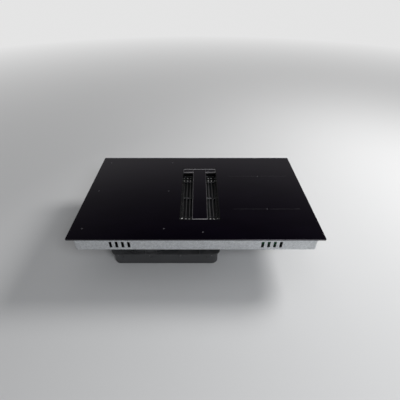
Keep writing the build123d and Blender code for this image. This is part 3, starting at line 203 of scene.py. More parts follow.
class CooktopStudio(bpy.types.PropertyGroup):
    """Floor, lamps and camera."""

    floor: tone("Floor", "Colour of the floor", (0.60, 0.605, 0.615))
    floor_reach: length("Floor width", "Half the width of the floor", 25.0)
    fade_start: length("Fade start", "Distance at which the floor begins to turn into the backdrop", 1.0)
    fade_end: length("Fade end", "Distance at which the floor is all backdrop", 5.0)
    backdrop: share("Backdrop", "Level of the pale backdrop at the horizon", 0.78)
    key_power: watts("Key lamp", "Power of the lamp on the right", 48.0)
    fill_power: watts("Fill lamp", "Power of the lamp in front", 26.0)
    lamp_size: length("Lamp size", "Diameter of both lamps", 0.9)
    lens: FloatProperty(name="Lens", description="Focal length", default=26.03, subtype="DISTANCE_CAMERA")
    pitch: FloatProperty(
        name="Pitch", description="Angle of the camera below level", default=math.radians(38.08), subtype="ANGLE"
    )
    camera_height: length("Camera height", "Height of the camera above the glass", 0.6619)
    camera_back: length("Camera distance", "Distance of the camera in front of the middle", 0.8989)
    camera_side: position("Camera side", "Camera's place to the right", 0.0064)
    camera_shift: FloatProperty(name="Shift", description="Sideways shift of the lens", default=0.0058)


# ---------------------------------------------------------------- effects that several finishes share
def effect_tree(name, inputs, outputs):
    """An empty node group with its sockets: (name, kind, default) for each input, (name, kind) for each output."""
    tree = bpy.data.node_groups.new(name, "ShaderNodeTree")
    for label, kind, default in inputs:
        socket = tree.interface.new_socket(name=label, in_out="INPUT", socket_type=f"NodeSocket{kind}")
        if default is not None:
            socket.default_value = default
    for label, kind in outputs:
        tree.interface.new_socket(name=label, in_out="OUTPUT", socket_type=f"NodeSocket{kind}")
    entry = tree.nodes.new("NodeGroupInput")
    leave = tree.nodes.new("NodeGroupOutput")
    return tree, entry.outputs, leave.inputs


def put(tree, kind, sockets=None, **values):
    """One node with its settings; `sockets` gives values, or sockets to link, by name or index."""
    node = tree.nodes.new(f"ShaderNode{kind}")
    for label, value in values.items():
        setattr(node, label, value)
    for label, value in (sockets or {}).items():
        if isinstance(value, bpy.types.NodeSocket):
            tree.links.new(value, node.inputs[label])
        else:
            node.inputs[label].default_value = value
    return node


def between(tree, value, low, high, new_low=0.0, new_high=1.0):
    """A value stretched from one span to another and held inside it."""
    spans = {"Value": value, "From Min": low, "From Max": high, "To Min": new_low, "To Max": new_high}
    return put(tree, "MapRange", spans).outputs["Result"]


def build_cloudiness():
    """Soft patches, as in handling marks or uneven cooling."""
    tree, given, result = effect_tree(
        "cloudiness",
        [("Vector", "Vector", None), ("Scale", "Float", 12.0), ("Detail", "Float", 3.0)],
        [("Mask", "Float")],
    )
    noise = put(tree, "TexNoise", {"Vector": given["Vector"], "Scale": given["Scale"], "Detail": given["Detail"]})
    tree.links.new(between(tree, noise.outputs["Fac"], 0.35, 0.68), result["Mask"])


def build_moulded_grain():
    """The fine spark-eroded grain of a moulding tool."""
    tree, given, result = effect_tree(
        "moulded_grain", [("Vector", "Vector", None), ("Scale", "Float", 1400.0)], [("Height", "Float")]
    )
    fine = put(tree, "TexNoise", {"Vector": given["Vector"], "Scale": given["Scale"], "Detail": 2.0})
    tree.links.new(fine.outputs["Fac"], result["Height"])


def build_drawn_lines():
    """Lines left by rolling, brushing or drawing, along the axis that the material shortens."""
    tree, given, result = effect_tree(
        "drawn_lines",
        [("Vector", "Vector", None), ("Scale", "Float", 900.0)],
        [("Height", "Float"), ("Mask", "Float")],
    )
    pattern = {"Vector": given["Vector"], "Scale": given["Scale"], "Detail": 4.0, "Roughness": 0.6}
    lines = put(tree, "TexNoise", pattern)
    tree.links.new(lines.outputs["Fac"], result["Height"])
    tree.links.new(between(tree, lines.outputs["Fac"], 0.38, 0.62), result["Mask"])


def build_zinc_spangle():
    """The flat crystals of a hot-dip zinc coat."""
    tree, given, result = effect_tree(
        "zinc_spangle",
        [("Vector", "Vector", None), ("Scale", "Float", 90.0)],
        [("Mask", "Float"), ("Height", "Float")],
    )
    warp = put(tree, "TexNoise", {"Vector": given["Vector"], "Scale": given["Scale"], "Detail": 1.0})
    bend = put(tree, "VectorMath", {0: warp.outputs["Color"], 1: (0.002, 0.002, 0.002)}, operation="MULTIPLY")
    bent = put(tree, "VectorMath", {0: given["Vector"], 1: bend.outputs[0]}, operation="ADD")
    cells = put(tree, "TexVoronoi", {"Vector": bent.outputs[0], "Scale": given["Scale"]})
    parts = put(tree, "SeparateColor", {"Color": cells.outputs["Color"]})
    fronds = put(tree, "TexWave", {"Vector": bent.outputs[0], "Scale": 260.0, "Distortion": 5.0, "Detail": 2.0})
    mix = put(tree, "Math", {0: parts.outputs["Red"], 1: fronds.outputs["Fac"]}, operation="MULTIPLY")
    tree.links.new(mix.outputs[0], result["Height"])
    tree.links.new(parts.outputs["Red"], result["Mask"])


def build_rubbed_edges():
    """Edges broken by a small radius, and a mask of them: rubbed bright by handling on most finishes, and a painted
    highlight on the frames of the grease filters.
    """
    tree, given, result = effect_tree(
        "rubbed_edges",
        [("Vector", "Vector", None), ("Width", "Float", 0.0008)],
        [("Mask", "Float"), ("Normal", "Vector")],
    )
    rounded = put(tree, "Bevel", {"Radius": given["Width"]}, samples=4)
    flat = put(tree, "NewGeometry")
    same = put(
        tree, "VectorMath", {0: rounded.outputs["Normal"], 1: flat.outputs["Normal"]}, operation="DOT_PRODUCT"
    )
    edge = between(tree, same.outputs["Value"], 0.995, 0.86)
    broken = put(tree, "TexNoise", {"Vector": given["Vector"], "Scale": 160.0, "Detail": 4.0})
    worn = put(tree, "Math", {0: edge, 1: between(tree, broken.outputs["Fac"], 0.4, 0.6)}, operation="MULTIPLY")
    tree.links.new(worn.outputs[0], result["Mask"])
    tree.links.new(rounded.outputs["Normal"], result["Normal"])


def build_settled_dust():
    """Thin dust on the faces that look up."""
    tree, given, result = effect_tree("settled_dust", [("Vector", "Vector", None)], [("Mask", "Float")])
    facing = put(tree, "SeparateXYZ", {"Vector": put(tree, "NewGeometry").outputs["Normal"]})
    patches = put(tree, "TexNoise", {"Vector": given["Vector"], "Scale": 35.0, "Detail": 6.0, "Roughness": 0.7})
    upward = between(tree, facing.outputs["Z"], 0.5, 1.0)
    dust = put(tree, "Math", {0: upward, 1: between(tree, patches.outputs["Fac"], 0.42, 0.75)}, operation="MULTIPLY")
    tree.links.new(dust.outputs[0], result["Mask"])


def build_ring_turns():
    """Rings round the object's own Z axis, a pitch apart, as in a flat winding."""
    tree, given, result = effect_tree(
        "ring_turns", [("Vector", "Vector", None), ("Pitch", "Float", 0.004)], [("Height", "Float")]
    )
    flat = put(tree, "VectorMath", {0: given["Vector"], 1: (1.0, 1.0, 0.0)}, operation="MULTIPLY")
    radius = put(tree, "VectorMath", {0: flat.outputs[0]}, operation="LENGTH")
    turns = put(tree, "Math", {0: radius.outputs["Value"], 1: given["Pitch"]}, operation="DIVIDE")
    saw = put(tree, "Math", {0: turns.outputs[0], 1: 1.0}, operation="PINGPONG")
    tree.links.new(saw.outputs[0], result["Height"])


EFFECTS = (
    build_cloudiness,
    build_moulded_grain,
    build_drawn_lines,
    build_zinc_spangle,
    build_rubbed_edges,
    build_settled_dust,
    build_ring_turns,
)


# ---------------------------------------------------------------- finishes
class Finish:
    """A material that is being built: its Principled shader and the patterns that drive it."""

    def __init__(self, name, colour, roughness, metallic=0.0, **sockets):
        self.material = bpy.data.materials.new(name)
        self.material.use_nodes = True
        self.tree = self.material.node_tree
        self.shader = self.tree.nodes["Principled BSDF"]
        self.shader.inputs["Base Color"].default_value = (*colour, 1.0)
        self.shader.inputs["Roughness"].default_value = roughness
        self.shader.inputs["Metallic"].default_value = metallic
        for label, value in sockets.items():
            self.shader.inputs[label.replace("_", " ")].default_value = value
        self.place = put(self.tree, "TexCoord").outputs["Object"]
        self.base = None
        self.normal = None

    def stretched(self, scale=(1.0, 1.0, 1.0), middle=(0.0, 0.0, 0.0)):
        """Object coordinates, centred on a point and scaled along each axis."""
        spot = -Vector(middle) * Vector(scale)
        return put(self.tree, "Mapping", {"Vector": self.place, "Location": spot, "Scale": scale}).outputs["Vector"]

    def effect(self, name, place=None, **values):
        """One of the shared effects, with its own values."""
        node = put(self.tree, "Group", node_tree=bpy.data.node_groups[name])
        self.tree.links.new(place or self.place, node.inputs["Vector"])
        for label, value in values.items():
            node.inputs[label].default_value = value
        return node.outputs

    def toned(self, mask, dark, light):
        """Base colour between two colours, each of them plain or an earlier base colour."""
        mix = put(self.tree, "Mix", {"Factor": mask}, data_type="RGBA")
        for socket, colour in ((mix.inputs[6], dark), (mix.inputs[7], light)):
            if isinstance(colour, bpy.types.NodeSocket):
                self.tree.links.new(colour, socket)
            else:
                socket.default_value = (*colour, 1.0)
        self.base = mix.outputs[2]
        self.tree.links.new(self.base, self.shader.inputs["Base Color"])

    def zone(self, **spans):
        """A mask inside a span of each given axis: (from, to), with a soft border a tenth of a millimetre wide."""
        parts = put(self.tree, "SeparateXYZ", {"Vector": self.place})
        inside = None
        for axis, (low, high) in spans.items():
            for start, end in ((low, low + ZONE_BORDER), (high, high - ZONE_BORDER)):
                if abs(start) < FAR:
                    step = between(self.tree, parts.outputs[axis.upper()], start, end)
                    inside = step if inside is None else self.both(inside, step)
        return inside

    def both(self, first, second):
        """The product of two masks."""
        return put(self.tree, "Math", {0: first, 1: second}, operation="MULTIPLY").outputs[0]

    def either(self, masks):
        """The highest of several masks."""
        highest = masks[0]
        for mask in masks[1:]:
            highest = put(self.tree, "Math", {0: highest, 1: mask}, operation="MAXIMUM").outputs[0]
        return highest

    def driven(self, socket, mask, low, high):
        """Roughness or another value between two amounts."""
        self.tree.links.new(between(self.tree, mask, 0.0, 1.0, low, high), self.shader.inputs[socket])

    def relief(self, height, strength, depth):
        """A fine relief on top of any earlier one."""
        bump = put(self.tree, "Bump", {"Height": height, "Strength": strength, "Distance": depth})
        if self.normal:
            self.tree.links.new(self.normal, bump.inputs["Normal"])
        self.normal = bump.outputs["Normal"]
        self.tree.links.new(self.normal, self.shader.inputs["Normal"])


def shade(colour, amount):
    """A colour made lighter or darker."""
    return tuple(min(1.0, part * amount) for part in colour)


def dusted(colour):
    """A colour under dust: greyer and paler."""
    return tuple(0.12 + 0.6 * part for part in colour)


def dress(material, *names):
    """Give CAD nodes one material."""
    for name in names:
        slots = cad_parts[name].data.materials
        slots.clear()
        slots.append(material)


def glass_finish(glass, name):
    """Polished black glass with the faintest handling marks."""
    finish = Finish(name, glass.body, glass.polish, IOR=1.5, Specular_Tint=(0.97, 0.90, 1.0, 1.0))
    smears = finish.effect("cloudiness", finish.stretched((1.0, 2.6, 1.0)), Scale=7.0, Detail=6.0)
    finish.driven("Roughness", smears["Mask"], glass.polish, glass.polish * 1.9)
    finish.toned(smears["Mask"], glass.body, shade(glass.body, 1.35))
    return finish


def edged_glass_finish(glass):
    """The hob's glass: as the cover's, with its bevel ground and left satin."""
    finish = glass_finish(glass, "black_glass_top")
    parts = put(finish.tree, "SeparateXYZ", {"Vector": finish.place})
    borders = []
    for axis, reach in (("X", glass_high.x), ("Y", glass_high.y)):
        away = put(finish.tree, "Math", {0: parts.outputs[axis]}, operation="ABSOLUTE").outputs[0]
        borders.append(between(finish.tree, away, reach - glass.ground_width, reach - 0.8 * glass.ground_width))
    edge = finish.either(borders)
    finish.toned(edge, finish.base, glass.ground)
    polish = finish.shader.inputs["Roughness"].links[0].from_socket
    mixed = put(finish.tree, "Mix", {"Factor": edge, 2: polish, 3: glass.satin}, data_type="FLOAT")
    finish.tree.links.new(mixed.outputs[0], finish.shader.inputs["Roughness"])
    return finish.material


def print_finish(name, colour, roughness, grain, uneven):
    """Fired enamel, a little uneven in its tone."""
    finish = Finish(name, colour, roughness)
    speckle = finish.effect("moulded_grain", Scale=grain)
    finish.toned(speckle["Height"], shade(colour, 1.0 - uneven), shade(colour, 1.0 + uneven))
    return finish.material


def moulding_finish(name, colour, roughness, grain=1400.0, dusty=0.35, worn=1.9, relief=0.35):
    """Moulded plastic: fine tool grain, uneven gloss, rubbed edges and a little dust on top."""
    finish = Finish(name, colour, roughness)
    clouds = finish.effect("cloudiness", Scale=22.0, Detail=3.0)
    finish.driven("Roughness", clouds["Mask"], roughness * 0.86, min(1.0, roughness * 1.18))
    finish.toned(clouds["Mask"], shade(colour, 0.9), shade(colour, 1.1))
    rubbed = finish.effect("rubbed_edges", Width=0.9 * MM)
    finish.normal = rubbed["Normal"]
    finish.toned(rubbed["Mask"], finish.base, shade(colour, worn))
    dust = finish.effect("settled_dust")
    finish.toned(finish.both(dust["Mask"], dusty), finish.base, dusted(colour))
    tool = finish.effect("moulded_grain", Scale=grain)
    finish.relief(tool["Height"], relief, 0.12 * MM)
    return finish.material


def rubber_finish(name, colour, roughness, grain, depth):
    """Rubber or foam: matt, with its skin or cells."""
    finish = Finish(name, colour, roughness, Specular_IOR_Level=0.3)
    clouds = finish.effect("cloudiness", Scale=60.0)
    finish.toned(clouds["Mask"], shade(colour, 0.8), shade(colour, 1.5))
    relief = finish.effect("moulded_grain", Scale=grain)
    finish.relief(relief["Height"], 0.6, depth)
    return finish.material


def metal(name, colour, roughness, lines=(1.0, 1.0, 1.0), scale=500.0, worn=1.35, edge=0.7 * MM, metallic=1.0):
    """Rolled, brushed or cast metal: lines along one axis, uneven gloss and brighter edges."""
    finish = Finish(name, colour, roughness, metallic)
    drawn = finish.effect("drawn_lines", finish.stretched(lines), Scale=scale)
    clouds = finish.effect("cloudiness", Scale=16.0, Detail=4.0)
    finish.toned(clouds["Mask"], shade(colour, 0.88), shade(colour, 1.06))
    rubbed = finish.effect("rubbed_edges", Width=edge)
    finish.normal = rubbed["Normal"]
    finish.toned(rubbed["Mask"], finish.base, shade(colour, worn))
    finish.driven("Roughness", drawn["Mask"], roughness * 0.7, roughness * 1.3)
    finish.relief(drawn["Height"], 0.4, 0.03 * MM)
    return finish


def metal_finish(*settings, **more):
    """A metal with nothing more to add, as a material."""
    return metal(*settings, **more).material


def cover_finish(metals):
    """Dark anodised sheet, with a near-white painted highlight on the top edges that run across the cover."""
    finish = metal("satin_anodised", metals.cover, 0.5, lines=(1.0, 0.05, 1.0), scale=1400.0)
    top = (frame_high.z - 2 * ZONE_BORDER, FAR)
    edges = (frame_low.y, wing_front, frame_high.y)
    # near-white bands on the rims across the cover: painted highlight
    rim_highlights = finish.either([finish.zone(y=(y - rim_highlight_width, y + rim_highlight_width), z=top) for y in edges])
    finish.toned(rim_highlights, finish.base, metals.rim_highlight)
    return finish.material


def filter_frame_finish(metals):
    """Coated frame with a painted highlight: near-white steel on the tops of its pressed nubs and on its edges."""
    # the coat's edges are lifted elevenfold to near white: painted highlight
    finish = metal("filter_frame_coat", metals.coat, 0.42, scale=900.0, worn=11.0, edge=1.2 * MM)
    plates = (slat_high.y, slat_high.y + plate_length), (-slat_high.y - plate_length, -slat_high.y)
    # the nub tops in bright, less metallic steel: painted highlight
    highlit_tops = (filter_high.z - nub_highlight_reach, FAR)
    nub_highlights = finish.either([finish.zone(x=(slat_low.x, slat_high.x), y=plate, z=highlit_tops) for plate in plates])
    finish.toned(nub_highlights, finish.base, metals.nub_highlight_and_rivet_steel)
    finish.driven("Metallic", nub_highlights, 1.0, 0.7)
    return finish.material


def slat_finish(metals):
    """Folded stainless sheet: dark steel in the folds, painted shade, and a lighter band on the crests, painted
    highlight.
    """
    finish = metal("filter_slat_steel", metals.filter_steel, 0.4, lines=(1.0, 0.03, 1.0), scale=1100.0)
    # a lighter band on the crests: painted highlight
    crest_highlights = finish.zone(z=(slat_high.z - crest_highlight_depth, FAR))
    finish.toned(crest_highlights, finish.base, metals.crest_highlight)
    return finish.material


def zinc_finish(metals):
    """Hot-dip galvanised sheet."""
    finish = Finish("zinc_coat", metals.zinc, 0.4, metallic=1.0)
    cells = finish.effect("zinc_spangle", Scale=240.0)
    finish.toned(cells["Mask"], shade(metals.zinc, 0.86), shade(metals.zinc, 1.08))
    dust = finish.effect("settled_dust")
    finish.toned(finish.both(dust["Mask"], 0.25), finish.base, metals.dust)
    finish.driven("Roughness", cells["Mask"], 0.48, 0.36)
    finish.relief(cells["Height"], 0.25, 0.02 * MM)
    return finish.material


def board_finish(electrics, node):
    """Lacquered circuit board with tracks under the lacquer, and dark moulded components on it."""
    finish = Finish(f"{node}_lacquer", electrics.mask, 0.32)
    tracks = put(finish.tree, "TexBrick", {"Vector": finish.place, "Scale": 60.0, "Mortar Size": 0.03}, offset=0.37)
    for part, level in (("Color1", 0.0), ("Color2", 0.25), ("Mortar", 1.0)):
        tracks.inputs[part].default_value = (level, level, level, 1.0)
    lines = put(finish.tree, "SeparateColor", {"Color": tracks.outputs["Color"]}).outputs["Red"]
    finish.toned(lines, electrics.mask, electrics.copper)
    low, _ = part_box(node)
    parts = finish.zone(z=(low.z + electrics.board_face, FAR))
    finish.toned(parts, finish.base, electrics.component)
    finish.driven("Roughness", parts, 0.32, 0.5)
    finish.relief(lines, 0.3, 0.04 * MM)
    return finish.material


def winding_finish(name, electrics, middle, oval):
    """Turns of lacquered strands round a coil's middle, as oval as the coil."""
    finish = Finish(name, electrics.litz, 0.45)
    turns = finish.effect("ring_turns", finish.stretched(oval, middle), Pitch=3.6 * MM)
    strands = finish.effect("drawn_lines", finish.stretched(middle=middle), Scale=1500.0)
    finish.toned(turns["Height"], shade(electrics.litz, 0.35), shade(electrics.litz, 1.25))
    finish.toned(strands["Mask"], finish.base, shade(electrics.litz, 0.8))
    finish.relief(turns["Height"], 0.9, 1.2 * MM)
    finish.relief(strands["Height"], 0.4, 0.2 * MM)
    return finish.material


def mica_finish(electrics):
    """Pressed flakes of mica."""
    finish = Finish("pressed_mica", electrics.mica, 0.5)
    flakes = put(finish.tree, "TexVoronoi", {"Vector": finish.place, "Scale": 160.0})
    parts = put(finish.tree, "SeparateColor", {"Color": flakes.outputs["Color"]}).outputs["Red"]
    finish.toned(parts, shade(electrics.mica, 0.7), shade(electrics.mica, 1.25))
    finish.driven("Roughness", parts, 0.35, 0.62)
    return finish.material


def ribbon_finish(electrics):
    """Flat cable with its cores side by side."""
    finish = Finish("ribbon_jacket", electrics.ribbon, 0.5)
    cores = put(finish.tree, "TexWave", {"Vector": finish.place, "Scale": 120.0}, bands_direction="Y").outputs["Fac"]
    finish.toned(cores, electrics.ribbon_groove, electrics.ribbon)
    finish.relief(cores, 0.7, 0.3 * MM)
    return finish.material


def lamination_finish(metals):
    """Core sheets stacked along the axis."""
    finish = Finish("core_sheets", metals.iron, 0.5, metallic=1.0)
    layers = put(finish.tree, "TexWave", {"Vector": finish.place, "Scale": 320.0}, bands_direction="Z")
    finish.toned(layers.outputs["Fac"], shade(metals.iron, 0.45), shade(metals.iron, 1.4))
    finish.relief(layers.outputs["Fac"], 0.5, 0.15 * MM)
    return finish.material


# ---------------------------------------------------------------- shapes
def add_piece(name, shape, body, material):
    """Turn a bmesh into a piece that rides on a body."""
    bmesh.ops.recalc_face_normals(shape, faces=shape.faces)
    mesh = bpy.data.meshes.new(name)
    shape.to_mesh(mesh)
    shape.free()
    mesh.materials.append(material)
    piece = bpy.data.objects.new(name, mesh)
    bpy.context.scene.collection.objects.link(piece)
    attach(piece, body)


def cube_faces(made):
    """The faces of a new cube, in the same order in every run."""
    return list(dict.fromkeys(face for corner in made["verts"] for face in corner.link_faces))


def print_cross(shape, x, y, z, size, stroke, height):
    """A printed plus sign: a small square with an arm drawn out of each side."""
    square = Matrix.Translation((x, y, z + height / 2)) @ Matrix.Diagonal((stroke, stroke, height, 1.0))
    made = bmesh.ops.create_cube(shape, size=1.0, matrix=square)
    sides = [face for face in cube_faces(made) if abs(face.normal.z) < 0.5]
    arms = bmesh.ops.extrude_discrete_faces(shape, faces=sides)["faces"]
    for arm in arms:
        bmesh.ops.translate(shape, verts=arm.verts, vec=arm.normal * (size - stroke) / 2)


def rivet_heads(places, z):
    """Low domed rivet heads on a sheet: flattened balls, cut off at the sheet and closed underneath."""
    shape = bmesh.new()
    for x, y in places:
        squat = Matrix.Translation((x, y, z)) @ Matrix.Diagonal((1.0, 1.0, rivet_rise / rivet_radius, 1.0))
        # v_segments is odd, so that no ring of the ball lies in the plane of the cut
        bmesh.ops.create_uvsphere(shape, u_segments=20, v_segments=11, radius=rivet_radius, matrix=squat)
    balls = [*shape.verts, *shape.edges, *shape.faces]
    bmesh.ops.bisect_plane(shape, geom=balls, plane_co=(0.0, 0.0, z), plane_no=(0.0, 0.0, -1.0), clear_outer=True)
    bmesh.ops.holes_fill(shape, edges=[edge for edge in shape.edges if edge.is_boundary])
    return shape


def print_line(shape, x, y, z, long, wide, height):
    """A printed line along X that narrows in a tip at each end."""
    tip_length = 0.05 * long
    bar = Matrix.Translation((x, y, z + height / 2)) @ Matrix.Diagonal((long - 2 * tip_length, wide, height, 1.0))
    made = bmesh.ops.create_cube(shape, size=1.0, matrix=bar)
    ends = [face for face in cube_faces(made) if abs(face.normal.x) > 0.5]
    tips = bmesh.ops.extrude_discrete_faces(shape, faces=ends)["faces"]
    for tip in tips:
        bmesh.ops.translate(shape, verts=tip.verts, vec=tip.normal * tip_length)
        middle = tip.calc_center_median()
        bmesh.ops.scale(shape, verts=tip.verts, vec=(1.0, 0.3, 1.0), space=Matrix.Translation(-middle))


# ---------------------------------------------------------------- studio
# place of each lamp, the spot at which it points, and its colour
KEY_LAMP = ((1.75, 0.7, 1.6), (0.3, 0.0, 0.0), (1.0, 0.99, 0.97))
FILL_LAMP = ((1.1, -2.0, 1.9), (0.0, 0.0, 0.0), (0.96, 0.98, 1.0))

# the backdrop above the horizon: height of the direction in which it is seen, and its level there. The glass
# mirrors it, so it falls away from the pale horizon to black, and is lit again overhead.
BACKDROP_LEVELS = (
    (0.10, 0.68),
    (0.26, 0.40),
    (0.50, 0.27),
    (0.575, 0.13),
    (0.62, 0.075),
    (0.66, 0.045),
    (0.71, 0.008),
    (0.80, 0.10),
    (0.90, 0.50),
    (1.0, 0.70),
)
BACKDROP_LEFT = 1.06
BACKDROP_RIGHT = 0.86


def lay_floor(studio):
    """A plain floor under the cooktop, which turns into the backdrop far away."""
    low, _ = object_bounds()
    level = Matrix.Translation((0.0, 0.0, low.z))
    ground = bmesh.new()
    bmesh.ops.create_grid(ground, x_segments=8, y_segments=8, size=studio.floor_reach, matrix=level)
    mesh = bpy.data.meshes.new("studio_floor")
    ground.to_mesh(mesh)
    ground.free()
    floor = bpy.data.objects.new("studio_floor", mesh)
    bpy.context.scene.collection.objects.link(floor)
    paint = Finish("floor_paint", studio.floor, 0.7)
    clouds = paint.effect("cloudiness", Scale=1.2)
    paint.toned(clouds["Mask"], studio.floor, shade(studio.floor, 0.985))
    reach = put(paint.tree, "VectorMath", {0: paint.place}, operation="LENGTH").outputs["Value"]
    far = between(paint.tree, reach, studio.fade_start, studio.fade_end)
    glow = put(paint.tree, "Emission", {"Color": (studio.backdrop,) * 3 + (1.0,)}).outputs[0]
    shown = put(paint.tree, "MixShader", {0: far, 1: paint.shader.outputs[0], 2: glow}).outputs[0]
    paint.tree.links.new(shown, paint.tree.nodes["Material Output"].inputs["Surface"])
    mesh.materials.append(paint.material)
    floor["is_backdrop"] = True


def hang_lamp(name, power, size, place, aim, colour):
    """A round soft lamp that points at a spot."""
    data = bpy.data.lights.new(name, "AREA")
    data.shape = "DISK"
    data.size = size
    data.energy = power
    data.color = colour
    lamp = bpy.data.objects.new(name, data)
    lamp.location = place
    lamp.rotation_euler = (Vector(aim) - Vector(place)).to_track_quat("-Z", "Y").to_euler()
    bpy.context.scene.collection.objects.link(lamp)


def light_backdrop(studio):
    """The world: the backdrop's levels by height, a little brighter on the left."""
    sky = bpy.data.worlds.new("studio_sky")
    bpy.context.scene.world = sky
    sky.use_nodes = True
    tree = sky.node_tree
    direction = put(tree, "TexCoord").outputs["Generated"]
    towards = put(tree, "SeparateXYZ", {"Vector": direction}).outputs
    ramp = put(tree, "ValToRGB", {"Fac": towards["Z"]})
    levels = ((0.0, studio.backdrop), *BACKDROP_LEVELS)
    stops = ramp.color_ramp.elements
    while len(stops) < len(levels):
        stops.new(0.5)
    for stop, (height, level) in zip(stops, levels):
        stop.position = height
        stop.color = (level, level, level, 1.0)
    back = tree.nodes["Background"]
    tree.links.new(ramp.outputs["Color"], back.inputs["Color"])
    tree.links.new(between(tree, towards["X"], -0.4, 0.4, BACKDROP_LEFT, BACKDROP_RIGHT), back.inputs["Strength"])


def set_camera(studio):
    """The camera at the photograph's angle."""
    view = bpy.data.cameras.new("photo_camera")
    view.lens = studio.lens
    view.shift_x = studio.camera_shift
    view.clip_start = 0.01
    view.clip_end = 60.0
    camera = bpy.data.objects.new("photo_camera", view)
    camera.location = (studio.camera_side, -studio.camera_back, glass_high.z + studio.camera_height)
    camera.rotation_euler = Euler((math.pi / 2 - studio.pitch, 0.0, 0.0))
    bpy.context.scene.collection.objects.link(camera)
    bpy.context.scene.camera = camera


# ---------------------------------------------------------------- operators
class COOKTOP_OT_effects(bpy.types.Operator):
    """Build the node groups that the finishes share"""

    bl_idname = "cooktop.effects"
    bl_label = "Shared Effects"

    def execute(self, context):
        for build in EFFECTS:
            build()
        return {"FINISHED"}


class COOKTOP_OT_glass(bpy.types.Operator):
    """Finish the glass of the hob and of its cover"""

    bl_idname = "cooktop.glass"
    bl_label = "Glass"

    def execute(self, context):
        glass = context.scene.cooktop_glass
        dress(edged_glass_finish(glass), "ceramic_glass")
        dress(glass_finish(glass, "black_glass").material, "cover_glass")
        return {"FINISHED"}


class COOKTOP_OT_print(bpy.types.Operator):
    """Print the zone marks, the zone lines and the key's mark on the glass"""

    bl_idname = "cooktop.print"
    bl_label = "Printed Marks"

    def execute(self, context):
        glass = context.scene.cooktop_glass
        top = glass_high.z
        enamel = print_finish("print_enamel", glass.print_tone, 0.55, 2600.0, 0.3)
        cross = (glass.mark_size, glass.mark_stroke, glass.print_height)

        wide = bmesh.new()
        for side in (-0.5, 0.5):
            for row in (-0.5, 0.0, 0.5):
                x = glass.wide_zone_x + side * glass.wide_zone
                print_cross(wide, x, glass.wide_zone_y + row * glass.zone_rows, top, *cross)
        add_piece("wide_zone_marks", wide, "hob", enamel)

        round_x = (coil_low.x + coil_high.x) / 2
        centres = bmesh.new()
        for row in (-0.5, 0.5):
            print_cross(centres, round_x, row * glass.round_spread, top, *cross)
        add_piece("round_zone_marks", centres, "hob", enamel)

        faint = print_finish("print_faint", glass.line_tone, 0.4, 1800.0, 0.5)
        lines = bmesh.new()
        half = (glass.zone_line - 2.0 * glass.mark_size) / 2
        stroke = (half, glass.line_width, 0.5 * glass.print_height)
        for row in (-0.5, 0.5):
            for side in (-1, 1):
                middle = round_x + side * (glass.mark_size + half / 2)
                print_line(lines, middle, row * glass.round_spread, top, *stroke)
        add_piece("round_zone_lines", lines, "hob", faint)

        key = bmesh.new()
        print_cross(key, glass.key_x, glass.key_y, top, *cross)
        add_piece("key_mark", key, "hob", enamel)
        return {"FINISHED"}


class COOKTOP_OT_cover(bpy.types.Operator):
    """Finish the frame and the pads of the T-shaped cover"""

    bl_idname = "cooktop.cover"
    bl_label = "Cover"

    def execute(self, context):
        dress(cover_finish(context.scene.cooktop_metals), "cover_frame")
        rubber = rubber_finish("moulded_rubber", context.scene.cooktop_mouldings.rubber, 0.75, 1800.0, 0.1 * MM)
        dress(rubber, "cover_pads", "collar_gasket", "touch_pads", "cable_gland")
        return {"FINISHED"}


class COOKTOP_OT_inlet(bpy.types.Operator):
    """Finish the inlet's collar and the drip tray"""

    bl_idname = "cooktop.inlet"
    bl_label = "Inlet"

    def execute(self, context):
        plastics = context.scene.cooktop_mouldings
        dress(moulding_finish("collar_moulding", plastics.collar, 0.12, dusty=0.0, relief=0.05), "inlet_collar")
        dress(moulding_finish("tray_moulding", plastics.tray, 0.32, grain=700.0, dusty=0.15), "drip_tray")
        return {"FINISHED"}


class COOKTOP_OT_filters(bpy.types.Operator):
    """Finish the grease filters"""

    bl_idname = "cooktop.filters"
    bl_label = "Grease Filters"

    def execute(self, context):
        metals = context.scene.cooktop_metals
        dress(filter_frame_finish(metals), "front_filter_frame", "rear_filter_frame")
        dress(slat_finish(metals), "front_filter_slats", "rear_filter_slats")
        steel = metal_finish("rivet_steel", metals.nub_highlight_and_rivet_steel, 0.45, scale=2400.0, worn=1.0, metallic=0.8)
        sides = (filter_low.x + rivet_inset, filter_high.x - rivet_inset)
        for end, body in ((1, "rear_filter"), (-1, "front_filter")):
            rows = [end * (slat_high.y + row) for row in nub_rows]
            heads = rivet_heads([(x, y) for x in sides for y in rows], rail_top)
            add_piece(f"{body}_rivets", heads, body, steel)
        return {"FINISHED"}


class COOKTOP_OT_pan(bpy.types.Operator):
    """Finish the pan, its brackets and springs, and the seals"""

    bl_idname = "cooktop.pan"
    bl_label = "Pan"

    def execute(self, context):
        metals = context.scene.cooktop_metals
        dress(zinc_finish(metals), "base_pan", "pan_brackets")
        dress(metal_finish("spring_steel", metals.spring, 0.25, lines=(1.0, 1.0, 0.05)), "cutout_springs")
        foam = rubber_finish("cell_foam", context.scene.cooktop_mouldings.foam, 0.9, 1000.0, 0.4 * MM)
        dress(foam, "worktop_seal", "plenum_gasket", "spigot_seal")
        return {"FINISHED"}


